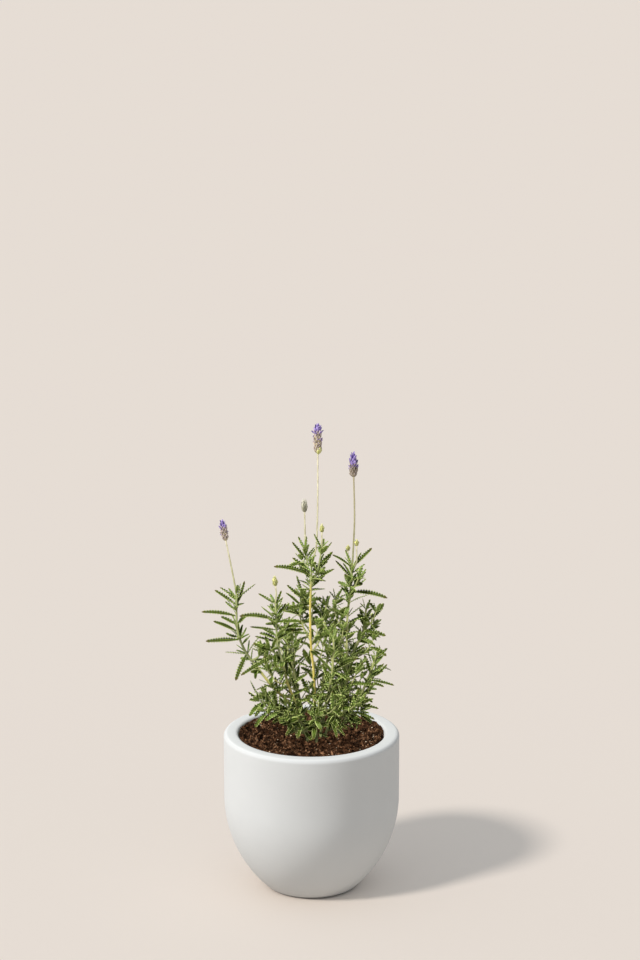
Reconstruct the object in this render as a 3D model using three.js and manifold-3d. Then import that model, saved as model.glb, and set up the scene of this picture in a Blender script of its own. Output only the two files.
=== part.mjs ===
// A young toothed lavender in a white, thick-walled planter. Millimetres, +Z up, the origin at the
// middle of the pot's foot. The plant is a set of leafy stems that stand in the soil. Each stem is one
// solid with its forks, leaves and flower stalks, and each stalk ends in the socket of a spike or bud.
import * as THREE from 'three';
import { mergeVertices } from 'three/addons/utils/BufferGeometryUtils.js';
import Module from 'manifold-3d';

const wasm = await Module();
wasm.setup();

// ---- driving dimensions ----

const GAP = 0.35;                 // clearance between pieces that touch
const DEGREE = Math.PI / 180;

const POT = {
  height: 155.6,
  radius: 85,
  mouthRadius: 70.4,
  footRadius: 42.7,
  bowlHeight: 92,                 // the side is straight above this
  bowlPull: 0.5,                  // how far down the side's straight line pulls the bowl's curve
  footPull: [0.4, 0.15],          // how far out and up the foot's flare pulls it
  rimRounding: 6,
  mouthRounding: 1.6,
  floorThickness: 15,
  floorRadius: 30,
  around: 32,
};

const SOIL = {
  edgeHeight: 152.2,              // where it meets the pot's wall
  moundHeight: 154.6,             // at the stems
  lump: 0.7,                      // height of the crumbs' swells
  rings: 4,
};

const ROOT = { bottom: 136, top: 158 };   // each stem's straight foot, in its hole in the soil

const STEM_SIDES = 4;             // lavender stems are square
const STEM_STEP = 19;
const MAIN_RADII = [1.65, 1.1];
const FORK_RADII = [1.15, 0.9];
const STALK_RADII = [0.85, 0.7];
const BUD_STALK_RADII = [0.75, 0.65];

const LEAF = {
  keel: 0.95,                     // thickness at the midrib
  sunk: 0.5,                      // how far a root reaches past the middle of its stem
  toothPitch: 7.8,                // teeth are drawn larger than life
  notch: 0.36,                    // how deep the notches between them cut into the half width
  toothedFrom: 25,                // leaves at least this long show teeth
  tuftLeaves: 3,                  // young leaves at the tip of each leafy stem
  tipFrom: 0.93,                  // where along a stem its tip begins
  facing: 50,                     // how far leaves placed by hand turn their upper side to the front
};

// Each leaf placed by hand is
//   [place along the stem 0..1, azimuth, rise above level at its root, length, droop, width],
// in degrees and mm. Azimuth 0 points right (+X), 90 away (+Y), 180 left, 270 to the front.
// pairs is [number of opposite pairs, from, to] for the leaves that follow the rule of growth, and
// leaf the length of the longest of them.
const STEMS = [
  {
    name: 'stem_left',
    route: [[-8, -8, 158], [-18, -12, 184], [-37, -16, 206], [-51, -18, 225], [-63, -20, 243],
      [-70, -21, 262], [-71, -22, 282], [-71, -22, 302]],
    pairs: [7, 0.3, 0.94],
    leaf: 21,
    leaves: [[0.91, 170, 38, 25, 10, 3.6], [0.91, 40, 60, 24, -10, 3.2], [0.95, 150, 48, 13, 0, 2.6],
      [0.95, 330, 74, 17, 0, 2.6], [0.87, 200, 42, 15, 0, 3], [0.83, 185, 21, 34, 25, 4.2],
      [0.72, 215, 36, 31, 15, 5], [0.77, 20, 41, 13, 0, 3], [0.68, 150, -6, 15, -25, 3],
      [0.66, 190, 6, 33, 12, 5], [0.55, 220, -50, 28, 20, 5], [0.66, 350, 62, 14, 0, 2.8],
      [0.62, 330, 50, 14, 0, 2.8], [0.24, 190, 8, 24, 35, 5]],
    forks: [
      {
        route: [[-58, -19, 233], [-51, -24, 238], [-48, -27, 244]],
        pairs: [0, 0.5, 1],
        leaf: 20,
        leaves: [[0.6, 60, 76, 13, 0, 2.8], [0.64, 300, 62, 15, 0, 2.8], [0.58, 350, 45, 14, 10, 3]],
      },
    ],
    stalks: [
      { route: [[-71, -22, 301], [-75, -23, 324], [-78, -24, 340], [-81, -24, 356]], holds: 'spike_left' },
    ],
  },
  {
    name: 'stem_left_inner',
    route: [[-4, -16, 158], [-13, -18, 186], [-22, -26, 211], [-27, -30, 234], [-32, -32, 253],
      [-33, -33, 272], [-34, -33, 295]],
    pairs: [8, 0.12, 0.92],
    leaf: 22,
    leaves: [[0.99, 165, 33, 19, 10, 2.8], [0.99, 140, 36, 12, 0, 2.8], [0.98, 30, 64, 15, 0, 2.8],
      [0.93, 330, 64, 17, 0, 3.4], [0.89, 15, 55, 17, 0, 3.4], [0.87, 180, 30, 36, 45, 5],
      [0.8, 160, 3, 27, 5, 2.8], [0.8, 350, 27, 26, 35, 3.4], [0.76, 20, 23, 19, 10, 2.8],
      [0.69, 170, 17, 22, 10, 2.8], [0.58, 205, -12, 44, 18, 4.6], [0.86, 345, 18, 25, 25, 4]],
    forks: [],
    stalks: [{ route: [[-34, -33, 294], [-33, -33, 303], [-34, -33, 313.5]], holds: 'bud_left' }],
  },
  {
    name: 'stem_centre',
    route: [[4, -3, 158], [3, -5, 193], [2, -4, 221], [0, -4, 237], [-1, -3, 259], [-1, -2, 287],
      [0, -1, 308], [0, 0, 322]],
    pairs: [3, 0.05, 0.22],
    leaf: 24,
    leaves: [[0.89, 178, 34, 38, 40, 5], [0.7, 200, 0, 31, 15, 4.2], [0.55, 200, 12, 22, 5, 3],
      [0.8, 40, 35, 20, 12, 3.4], [0.84, 300, 40, 18, 10, 3.2]],
    forks: [
      {
        route: [[0, -1, 306], [-3, 2, 317], [-4, 5, 324], [-6, 6, 336]],
        pairs: [2, 0.5, 0.9],
        leaf: 17,
        leaves: [[0.98, 170, 63, 15, 0, 2.8], [0.96, 240, 72, 15, 0, 2.6], [0.98, 80, 63, 14, 0, 2.6],
          [0.71, 190, 57, 24, 8, 3.6], [0.69, 340, 67, 19, 25, 3]],
      },
      {
        route: [[0, -1, 303], [5, -4, 315], [8, -6, 329], [10, -7, 342]],
        pairs: [2, 0.3, 0.85],
        leaf: 18,
        leaves: [[0.98, 20, 76, 17, 0, 3], [0.98, 170, 62, 16, 0, 2.6], [0.79, 330, 50, 19, 0, 3.2],
          [0.56, 20, 39, 18, 0, 3.6], [0.38, 345, 60, 23, 25, 4.6], [0.13, 320, 38, 25, 10, 3.6]],
      },
      {
        route: [[-1, -3, 249], [-8, 3, 260], [-11, 8, 273], [-8, 12, 288]],
        pairs: [4, 0.4, 0.95],
        leaf: 21,
        leaves: [[1, 150, 70, 21, 0, 2.8], [0.96, 200, 68, 21, 0, 2.8], [0.94, 215, 50, 22, 10, 4.4]],
      },
      {
        route: [[1, -4, 237], [8, 4, 247], [13, 10, 260], [14, 14, 280]],
        pairs: [5, 0.4, 0.97],
        leaf: 22,
        leaves: [],
      },
    ],
    stalks: [
      { route: [[-6, 6, 335], [-6, 7, 349], [-6.5, 7, 374.5]], holds: 'spike_green' },
      { route: [[10, -7, 341], [10, -7, 349], [10, -7, 359]], holds: 'bud_centre' },
      { route: [[0, 0, 321], [3, 1, 333], [5, 2, 345], [6, 2, 386], [6, 2, 434.5]], holds: 'spike_centre' },
    ],
  },
  {
    name: 'stem_right',
    route: [[18, 4, 158], [28, 4, 185], [32, 7, 201], [34, 8, 220], [34, 8, 245], [35, 7, 276],
      [38, 5, 302], [39, 3, 321]],
    pairs: [9, 0.1, 0.94],
    leaf: 23,
    leaves: [[1, 160, 67, 17, 0, 3.2], [0.98, 200, 48, 30, 25, 3.6], [0.9, 215, 52, 28, 10, 5],
      [0.99, 345, 50, 28, 8, 5], [0.94, 330, 38, 18, 0, 3.4], [0.81, 352, 10, 37, 35, 5]],
    forks: [
      {
        route: [[38, 5, 296], [42, 0, 302], [45, -4, 311]],
        pairs: [0, 0.5, 1],
        leaf: 20,
        leaves: [[0.42, 60, 53, 17, 0, 3], [0.5, 340, 57, 16, 0, 3], [0.42, 310, 37, 15, 0, 3]],
      },
    ],
    stalks: [
      { route: [[39, 3, 315], [43, -2, 326], [43, -4, 334], [43, -5, 345]], holds: 'bud_right', small: true },
      {
        route: [[39, 4, 312], [36, 8, 321], [35, 9, 328], [35, 9, 336.5]],
        holds: 'bud_right_low',
        small: true,
      },
      { route: [[39, 3, 320], [40, 2, 340], [41, 1, 370], [40, 0, 412]], holds: 'spike_right' },
    ],
  },
  {
    name: 'stem_right_back',
    route: [[24, 12, 158], [33, 16, 192], [38, 22, 216], [43, 24, 235], [49, 25, 244], [51, 25, 258],
      [53, 25, 272]],
    pairs: [7, 0.12, 0.92],
    leaf: 21,
    leaves: [[0.84, 150, 68, 14, 0, 3], [0.85, 30, 55, 14, 0, 3], [0.82, 350, 45, 20, 0, 3.2],
      [0.73, 345, 8, 23, 30, 5], [0.73, 15, 5, 18, 0, 2.8], [0.62, 320, 14, 19, 50, 3.2],
      [0.43, 330, 10, 18, 0, 2.8]],
    forks: [],
    stalks: [],
  },
  {
    name: 'stem_far_right',
    route: [[27, 0, 158], [39, 3, 177], [49, 7, 193], [53, 9, 203], [57, 10, 212], [62, 11, 228]],
    pairs: [5, 0.15, 0.93],
    leaf: 20,
    leaves: [[0.84, 70, 31, 20, 0, 3.2], [0.87, 350, 51, 19, 0, 3.4], [0.78, 325, 36, 19, 0, 3],
      [0.72, 10, 13, 22, -40, 3], [0.64, 0, -2, 27, 20, 3.2], [0.51, 320, 37, 25, 55, 3.6]],
    forks: [],
    stalks: [],
  },
  {
    name: 'shoot_low_left',
    route: [[-12, -20, 158], [-22, -28, 185], [-36, -33, 196], [-44, -36, 205]],
    pairs: [5, 0.12, 0.93],
    leaf: 20,
    leaves: [[0.8, 200, -34, 22, 25, 5], [0.68, 240, -8, 23, 10, 4.2], [0.56, 210, -22, 13, 10, 3]],
    forks: [],
    stalks: [],
  },
  {
    name: 'shoot_low_front_left',
    route: [[-4, -26, 158], [-11, -34, 177], [-19, -40, 187], [-25, -43, 198]],
    pairs: [5, 0.12, 0.93],
    leaf: 19,
    leaves: [[0.7, 205, -12, 21, 20, 4.2], [0.3, 240, 20, 30, 60, 3.2]],
    forks: [],
    stalks: [],
  },
  {
    name: 'shoot_low_front',
    route: [[5, -26, 158], [4, -34, 177], [6, -38, 188], [7, -40, 199]],
    pairs: [5, 0.12, 0.93],
    leaf: 19,
    leaves: [[0.24, 265, 8, 27, 40, 4.4], [0.3, 225, 12, 27, 50, 3.2]],
    forks: [],
    stalks: [],
  },
  {
    name: 'shoot_low_front_right',
    route: [[13, -20, 158], [19, -26, 178], [25, -30, 191], [28, -32, 204]],
    pairs: [5, 0.12, 0.93],
    leaf: 20,
    leaves: [[0.3, 320, 0, 22, 30, 3.2], [0.28, 300, 8, 32, 45, 3.4], [0.2, 280, 20, 34, 45, 3]],
    forks: [],
    stalks: [],
  },
  {
    name: 'shoot_low_right',
    route: [[26, -9, 158], [34, -8, 173], [42, -10, 184], [48, -11, 194]],
    pairs: [4, 0.14, 0.93],
    leaf: 18,
    leaves: [[0.71, 10, 24, 18, 10, 3], [0.67, 355, 8, 24, 35, 3.4], [0.5, 340, 2, 25, 30, 3.2],
      [0.39, 310, 2, 20, 15, 4.6]],
    forks: [],
    stalks: [],
  },
  {
    name: 'shoot_middle_left',
    route: [[-4, 0, 158], [-11, -6, 189], [-16, -12, 216], [-19, -14, 237], [-18, -14, 258]],
    pairs: [7, 0.07, 0.92],
    leaf: 23,
    leaves: [],
    forks: [],
    stalks: [],
  },
  {
    name: 'shoot_middle_front',
    route: [[9, -12, 158], [15, -20, 194], [19, -24, 219], [21, -25, 241], [21, -25, 257]],
    pairs: [7, 0.08, 0.92],
    leaf: 23,
    leaves: [],
    forks: [],
    stalks: [],
  },
  {
    name: 'shoot_back',
    route: [[8, 10, 158], [11, 22, 190], [15, 28, 217], [18, 30, 239], [19, 31, 257]],
    pairs: [7, 0.07, 0.92],
    leaf: 24,
    leaves: [],
    forks: [],
    stalks: [],
  },
  {
    name: 'shoot_back_left',
    route: [[-6, 9, 158], [-15, 22, 190], [-21, 32, 210], [-23, 35, 225], [-23, 36, 239]],
    pairs: [6, 0.08, 0.92],
    leaf: 24,
    leaves: [],
    forks: [],
    stalks: [],
  },
  {
    name: 'shoot_back_right',
    route: [[15, 18, 158], [26, 26, 179], [33, 36, 192], [38, 40, 207], [40, 42, 222]],
    pairs: [6, 0.08, 0.92],
    leaf: 23,
    leaves: [],
    forks: [],
    stalks: [],
  },
];

// Spikes: the body is a slim core under whorls of bracts, and the open ones carry a tuft of large
// bracts. seat is how far the stalk reaches up into the body.
const SPIKES = {
  spike_centre: { body: 19.5, radius: 4.3, whorls: 6, around: 6, seat: 3, tuft: 10, tuftRadius: 4.6 },
  spike_right: { body: 11.5, radius: 4.5, whorls: 4, around: 6, seat: 3, tuft: 13.5, tuftRadius: 4.2 },
  spike_left: { body: 12, radius: 4.1, whorls: 4, around: 6, seat: 3, tuft: 9, tuftRadius: 4 },
  spike_green: { body: 13.2, radius: 2.9, whorls: 4, around: 5, seat: 3, tuft: 0 },
  bud_left: { body: 9.6, radius: 2.5, whorls: 3, around: 4, seat: 2.2, tuft: 0 },
  bud_centre: { body: 8, radius: 2.3, whorls: 2, around: 4, seat: 2.2, tuft: 0 },
  bud_right: { body: 6.6, radius: 2, whorls: 2, around: 4, seat: 2.2, tuft: 0 },
  bud_right_low: { body: 5.6, radius: 2, whorls: 1, around: 4, seat: 2.2, tuft: 0 },
};

const WHORL_TOP = 0.9;            // where in a whorl's height its skin closes in on the core again
const BUD_TIP = 0.13;             // share of a bud's height that its pointed tip takes

// The tuft's bracts lean out from its core and bend back in, so that they close like a flame.
const TUFT = { outer: 6, inner: 2, lean: 36, closing: 46, innerLean: 8, bractWidth: 0.8 };

// The centre stem is bare and is seen from the front at these places along it. Leaves of the other stems
// keep clear of bars at these distances in front of it.
const BARE = { stem: 'stem_centre', from: 0.2, to: 0.85, distances: [8, 16, 24, 32], radius: 1.2 };

// ---- colours and finishes ----

const finish = (color, roughness) => new THREE.MeshStandardMaterial({ color, roughness, metalness: 0 });
const GLAZE = finish('#e4e1dc', 0.55);
const COMPOST = finish('#4a3326', 0.95);
const LEAF_GREEN = finish('#6f8a4c', 0.7);
const BRACT_GREEN = finish('#a49a78', 0.75);
const BRACT_PURPLE = finish('#8d72c4', 0.65);
const BUD_GREEN = finish('#c3cb74', 0.7);

// ---- small helpers ----

const vector = (x, y, z) => new THREE.Vector3(x, y, z);
const mix = (a, b, t) => a + (b - a) * t;

/** A repeatable draw from 0 to 1 for the pair of whole numbers (i, j). */
function draw(i, j) {
  const wave = Math.sin(i * 127.1 + j * 311.7) * 43758.5453;
  return wave - Math.floor(wave);
}

/** The closed solid of a three.js geometry. */
function solidOf(geometry) {
  geometry.deleteAttribute('normal');
  geometry.deleteAttribute('uv');
  const merged = mergeVertices(geometry, 1e-4);
  const mesh = new wasm.Mesh({
    numProp: 3,
    vertProperties: new Float32Array(merged.attributes.position.array),
    triVerts: new Uint32Array(merged.index.array),
  });
  return new wasm.Manifold(mesh);
}

/** The named three.js mesh of a solid. */
function meshOf(solid, name, material) {
  const result = solid.getMesh();
  const geometry = new THREE.BufferGeometry();
  geometry.setAttribute('position', new THREE.BufferAttribute(new Float32Array(result.vertProperties), 3));
  geometry.setIndex(new THREE.BufferAttribute(new Uint32Array(result.triVerts), 1));
  geometry.computeVertexNormals();
  const mesh = new THREE.Mesh(geometry, material);
  mesh.name = name;
  return mesh;
}

/**
 * A skin over rings of points, each counter-clockwise seen from ahead. At the end it closes on a tip
 * and at the start on a tail, where these are given, and flat where they aren't.
 */
function loft(rings, { tip = null, tail = null } = {}) {
  const around = rings[0].length;
  const last = (rings.length - 1) * around;
  const points = [...rings.flat(), tip, tail].filter((point) => point !== null);
  const faces = [];
  for (let i = 0; i + 1 < rings.length; i += 1) {
    for (let j = 0; j < around; j += 1) {
      const a = i * around + j;
      const b = i * around + ((j + 1) % around);
      faces.push(a, b, b + around, a, b + around, a + around);
    }
  }
  for (let j = 1; j + 1 < around; j += 1) {
    if (!tail) faces.push(0, j + 1, j);
    if (!tip) faces.push(last, last + j, last + j + 1);
  }
  for (let j = 0; j < around; j += 1) {
    const next = (j + 1) % around;
    if (tail) faces.push(next, j, points.length - 1);
    if (tip) faces.push(last + j, last + next, last + around);
  }
  const geometry = new THREE.BufferGeometry().setFromPoints(points);
  geometry.setIndex(faces);
  return solidOf(geometry);
}

/** A smooth curve through the points of a route. */
function smoothRoute(route) {
  return new THREE.CatmullRomCurve3(route.map((point) => vector(...point)), false, 'catmullrom', 0.5);
}

/** The upright frame of a stem that runs along: side is level, front completes the three. */
function frameAlong(along) {
  const side = vector(0, 1, 0).cross(along).normalize();
  return { side, front: along.clone().cross(side) };
}

/** A square tube along a curve whose half diagonal goes from radii[0] to radii[1]. */
function stemTube(curve, radii) {
  const steps = Math.max(2, Math.ceil(curve.getLength() / STEM_STEP));
  return loft(Array.from({ length: steps + 1 }, (_, i) => {
    const u = i / steps;
    return squareRing(curve.getPoint(u), curve.getTangent(u), mix(radii[0], radii[1], u));
  }));
}

/** The corners of a square stem's section. */
function squareRing(centre, along, radius) {
  const { side, front } = frameAlong(along);
  return Array.from({ length: STEM_SIDES }, (_, j) => {
    const turn = (j + 0.5) * 2 * Math.PI / STEM_SIDES;
    return centre.clone()
      .addScaledVector(side, radius * Math.cos(turn))
      .addScaledVector(front, radius * Math.sin(turn));
  });
}

// ---- blades: leaves and bracts ----

// A blade leaves its root at the angle tilt from the axis and bends steadily by bend over its length,
// in the plane of the axis and the outward direction. roll turns its faces about its own length.

/** The point, heading and upper side of a blade at s, from 0 at the root to 1 at the tip. */
function bladeFrame(blade, s) {
  const { root, axis, outward, tilt, length, roll } = blade;
  const bend = Math.abs(blade.bend) < 1e-3 ? 1e-3 : blade.bend;
  const angle = tilt + bend * s;
  const point = root.clone()
    .addScaledVector(axis, length * (Math.sin(angle) - Math.sin(tilt)) / bend)
    .addScaledVector(outward, length * (Math.cos(tilt) - Math.cos(angle)) / bend);
  const flatUp = axis.clone().multiplyScalar(Math.sin(angle)).addScaledVector(outward, -Math.cos(angle));
  const flatSide = axis.clone().cross(outward);
  const up = flatUp.clone().multiplyScalar(Math.cos(roll)).addScaledVector(flatSide, -Math.sin(roll));
  const side = flatSide.multiplyScalar(Math.cos(roll)).addScaledVector(flatUp, Math.sin(roll));
  return { point, up, side };
}

/** Half the width of a blade at s: narrow at the root, widest before the middle, blunt at the tip. */
function halfWidth(blade, s) {
  return blade.width / 2 * (0.3 + 0.7 * Math.sin(Math.PI * s ** 0.85));
}

/**
 * Where a blade's rings lie along it and what share of the full width each has. A toothed blade has a
 * narrow ring in each notch and a wide one on each tooth.
 */
function bladeStations({ teeth, length }) {
  if (!teeth) return length > 22 ? [[0.13, 1], [0.45, 1], [0.8, 1]] : [[0.16, 1], [0.6, 1]];
  const pitch = 0.84 / teeth;
  return Array.from({ length: teeth }, (_, i) => {
    const start = 0.1 + i * pitch;
    return [[start, i === 0 ? 1 : 1 - LEAF.notch], [start + pitch * 0.55, 1]];
  }).flat();
}

/** A closed blade with a flat upper side and a keel under its midrib, its root sunk in what it grows on. */
function bladeSolid(blade) {
  const rings = bladeStations(blade).map(([s, share]) => {
    const { point, up, side } = bladeFrame(blade, s);
    const half = halfWidth(blade, s) * share;
    return [
      point.clone().addScaledVector(side, half),
      point.clone().addScaledVector(side, -half),
      point.clone().addScaledVector(up, -LEAF.keel * mix(1, 0.75, s)),
    ];
  });
  const tail = bladeFrame(blade, -LEAF.sunk / blade.length).point;
  return loft(rings, { tip: bladeFrame(blade, 1).point, tail });
}

// ---- the leaves' places ----

/** All leafy axes: each stem and each of its forks. */
const AXES = STEMS.flatMap((stem) => [
  { ...stem, node: stem.name, curve: smoothRoute(stem.route), radii: MAIN_RADII },
  ...stem.forks.map((fork) => ({
    ...fork, node: stem.name, curve: smoothRoute(fork.route), radii: FORK_RADII,
  })),
]);

const STALKS = STEMS.flatMap((stem) => stem.stalks.map((stalk) => ({
  ...stalk,
  node: stem.name,
  curve: smoothRoute(stalk.route),
  radii: stalk.small ? BUD_STALK_RADII : STALK_RADII,
})));

/** A leaf placed by hand, from its list of numbers. Its upper side turns to the front. */
function placedLeaf(axis, [u, azimuth, rise, length, droop, width]) {
  return {
    node: axis.node,
    root: axis.curve.getPoint(u),
    axis: vector(0, 0, 1),
    outward: vector(Math.cos(azimuth * DEGREE), Math.sin(azimuth * DEGREE), 0),
    tilt: (90 - rise) * DEGREE,
    bend: droop * DEGREE,
    roll: LEAF.facing * Math.cos(azimuth * DEGREE) * DEGREE,
    length,
    width,
    teeth: toothCount(length),
  };
}

function toothCount(length) {
  return length >= LEAF.toothedFrom ? Math.round(length / LEAF.toothPitch) : 0;
}

/** A leaf at u on an axis, turned about the stem, tilted from it and rolled, in degrees. */
function grownLeaf(axis, u, { turn, tilt, bend, roll = 0 }, length, width) {
  const along = axis.curve.getTangent(u);
  const { side, front } = frameAlong(along);
  return {
    node: axis.node,
    root: axis.curve.getPoint(u),
    axis: along,
    outward: side.multiplyScalar(Math.cos(turn * DEGREE)).addScaledVector(front, Math.sin(turn * DEGREE)),
    tilt: tilt * DEGREE,
    bend: bend * DEGREE,
    roll: roll * DEGREE,
    length,
    width,
    teeth: toothCount(length),
  };
}

/** Opposite pairs, each turned a quarter from the last, longest in the middle of the stem. */
function pairedLeaves(axis, index) {
  const [count, from, to] = axis.pairs;
  const leaves = [];
  for (let k = 0; k < count; k += 1) {
    const x = count > 1 ? k / (count - 1) : 0.5;
    const u = mix(from, to, 1 - (1 - x) ** 1.2);
    for (let twin = 0; twin < 2; twin += 1) {
      const chance = (j) => draw(10 * index + twin, 5 * k + j);
      const pose = {
        turn: 90 * k + 180 * twin + 37 * index + 36 * (chance(0) - 0.5),
        tilt: mix(70, 32, x) + 22 * (chance(1) - 0.5),
        bend: 8 + 34 * chance(2),
        roll: 100 * (chance(4) - 0.5),
      };
      const growth = (0.8 + 0.3 * Math.sin(Math.PI * x)) * (1 - 0.35 * x ** 3);
      const length = axis.leaf * growth * (0.82 + 0.32 * chance(3));
      leaves.push(grownLeaf(axis, u, pose, length, 2 + 0.1 * length));
    }
  }
  return leaves;
}

/** The upright young leaves round the tip of an axis, where none are placed there by hand. */
function tipLeaves(axis, index) {
  const placedAtTip = axis.leaves.filter(([u]) => u > LEAF.tipFrom).length;
  if (placedAtTip > 1) return [];
  return Array.from({ length: LEAF.tuftLeaves }, (_, k) => {
    const chance = (j) => draw(10 * index + 8, k + 10 * j);
    const turn = 360 / LEAF.tuftLeaves * k + 45 + 30 * chance(0);
    const pose = { turn, tilt: 14 + 14 * chance(1), bend: 8 };
    const leaf = grownLeaf(axis, 0.99, pose, axis.leaf * (0.42 + 0.2 * chance(2)), 2.8);
    leaf.root.addScaledVector(leaf.outward, axis.radii[1] * 0.45);
    return leaf;
  });
}

// ---- keeping each piece clear of the others ----

/** The shortest distance between the segments a-b and c-d. */
function segmentDistance(a, b, c, d) {
  const first = b.clone().sub(a);
  const second = d.clone().sub(c);
  const between = a.clone().sub(c);
  const firstSquare = first.lengthSq();
  const secondSquare = second.lengthSq();
  const cross = first.dot(second);
  const alongFirst = first.dot(between);
  const alongSecond = second.dot(between);
  const spread = firstSquare * secondSquare - cross * cross;
  const clamp = THREE.MathUtils.clamp;
  let s = spread > 1e-9 ? clamp((cross * alongSecond - alongFirst * secondSquare) / spread, 0, 1) : 0;
  let t = (cross * s + alongSecond) / secondSquare;
  if (t < 0 || t > 1) {
    t = clamp(t, 0, 1);
    s = clamp((cross * t - alongFirst) / firstSquare, 0, 1);
  }
  return between.addScaledVector(first, s).addScaledVector(second, -t).length();
}

/** The round bars that stand for a curve in the clearance test. */
function curveBars(node, curve, radius) {
  const count = Math.ceil(curve.getLength() / 9);
  return Array.from({ length: count }, (_, i) => ({
    node, a: curve.getPoint(i / count), b: curve.getPoint((i + 1) / count), radius,
  }));
}

/** The round bars that stand for a blade: two rows, left and right of its midrib. */
function bladeBars(blade) {
  const count = blade.length > 14 ? 4 : 2;
  const bars = [];
  for (const hand of [-1, 1]) {
    const points = Array.from({ length: count + 1 }, (_, i) => {
      const { point, side } = bladeFrame(blade, i / count);
      return point.addScaledVector(side, hand * 0.27 * blade.width * (i === count ? 0.3 : 1));
    });
    for (let i = 0; i < count; i += 1) {
      bars.push({
        node: blade.node, a: points[i], b: points[i + 1], radius: 0.23 * blade.width + 0.2, free: i > 0,
      });
    }
  }
  return bars;
}

/** The height that a leaf stays above: the soil, or the rim past the pot's mouth. */
function floorHeight(point) {
  const reach = Math.hypot(point.x, point.y);
  return reach > POT.mouthRadius - 4 ? POT.height : soilHeight(reach) + 2 * SOIL.lump;
}

/** The soil's mean height at a distance from the pot's axis. */
function soilHeight(reach) {
  return mix(SOIL.moundHeight, SOIL.edgeHeight, (reach / POT.mouthRadius) ** 2);
}

/** Whether a leaf's bars clear the floor, the other stems' bars and, past the root, its own stem's. */
function isClear(bars, obstacles) {
  if (bars.some((bar) => bar.b.z - bar.radius < floorHeight(bar.b) + GAP)) return false;
  return !obstacles.some((other) => bars.some((bar) => {
    if (other.node === bar.node && !(other.free && bar.free)) return false;
    return segmentDistance(bar.a, bar.b, other.a, other.b) < bar.radius + other.radius + GAP;
  }));
}

// What is tried in turn on a leaf that would touch another stem's: [turn in degrees, share of length].
const BENDS_CLEAR = [[0, 1], [18, 1], [-18, 1], [36, 0.92], [-36, 0.92], [0, 0.75], [24, 0.75],
  [-24, 0.75], [0, 0.55]];

/** The leaf as it is, bent clear or shortened, or null where it finds no room. */
function clearLeaf(leaf, obstacles) {
  for (const [degrees, share] of BENDS_CLEAR) {
    const length = leaf.length * share;
    const trial = {
      ...leaf,
      outward: leaf.outward.clone().applyAxisAngle(leaf.axis, degrees * DEGREE),
      length,
      teeth: toothCount(length),
    };
    const bars = bladeBars(trial);
    if (isClear(bars, obstacles)) {
      obstacles.push(...bars);
      return trial;
    }
  }
  return null;
}

/** Every leaf of the plant: those placed by hand come first, then the pairs and the tips. */
function allLeaves() {
  const obstacles = [
    ...AXES.flatMap((axis) => curveBars(axis.node, axis.curve, axis.radii[0])),
    ...STALKS.flatMap((stalk) => curveBars(stalk.node, stalk.curve, stalk.radii[0])),
    ...STALKS.map(spikeBar),
    ...bareBars(),
  ];
  const wanted = [
    ...AXES.flatMap((axis) => axis.leaves.map((numbers) => placedLeaf(axis, numbers))),
    ...AXES.flatMap(pairedLeaves),
    ...AXES.flatMap(tipLeaves),
  ];
  return wanted.map((leaf) => clearLeaf(leaf, obstacles)).filter((leaf) => leaf !== null);
}

// ---- spikes and buds ----

/** The place of a spike: its foot on the stalk and its own upright frame. */
function spikePlace(stalk) {
  const along = stalk.curve.getTangent(1);
  const foot = stalk.curve.getPoint(1).addScaledVector(along, -SPIKES[stalk.holds].seat);
  const { side, front } = frameAlong(along);
  return { foot, along, side, front };
}

/** The bars that keep leaves of the other stems from crossing in front of the bare stem. */
function bareBars() {
  const { curve } = AXES.find(({ node }) => node === BARE.stem);
  const count = Math.ceil(curve.getLength() / 9);
  const point = (i, distance) => curve.getPoint(mix(BARE.from, BARE.to, i / count)).add(vector(0, -distance, 0));
  return BARE.distances.flatMap((distance) => Array.from({ length: count }, (_, i) => ({
    node: BARE.stem, a: point(i, distance), b: point(i + 1, distance), radius: BARE.radius,
  })));
}

function spikeBar(stalk) {
  const { foot, along } = spikePlace(stalk);
  const { body, tuft, radius } = SPIKES[stalk.holds];
  const top = foot.clone().addScaledVector(along, body + tuft);
  return { node: stalk.holds, a: foot, b: top, radius: radius + 1 };
}

/** A bract on a spike that leans out and bends by the given degrees: its root is inside the core. */
function bract(height, turn, reach, [lean, bend], length, width) {
  const outward = vector(Math.cos(turn), Math.sin(turn), 0);
  return bladeSolid({
    root: outward.clone().multiplyScalar(reach).setZ(height),
    axis: vector(0, 0, 1),
    outward,
    tilt: lean * DEGREE,
    bend: bend * DEGREE,
    roll: 0,
    length,
    width,
    teeth: 0,
  });
}

/** One ring of a spike's skin: the radius and height go from an inner to an outer pair at each bract. */
function lobedRing(bracts, phase, [innerRadius, innerHeight], [outerRadius, outerHeight]) {
  return Array.from({ length: 2 * bracts }, (_, j) => {
    const turn = (j + phase) * Math.PI / bracts;
    const isBract = j % 2 === 0;
    const reach = isBract ? outerRadius : innerRadius;
    return vector(reach * Math.cos(turn), reach * Math.sin(turn), isBract ? outerHeight : innerHeight);
  });
}

/** How wide whorl i swells: almost evenly on an open spike, and like an egg on a bud or a closed spike. */
function whorlRadius({ radius, whorls, tuft }, i) {
  if (tuft) return radius * (0.78 + 0.22 * Math.sin(Math.PI * (i + 0.7) / whorls));
  return radius * Math.sin(Math.PI * (0.3 + 0.58 * (i + 0.5) / whorls));
}

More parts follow.
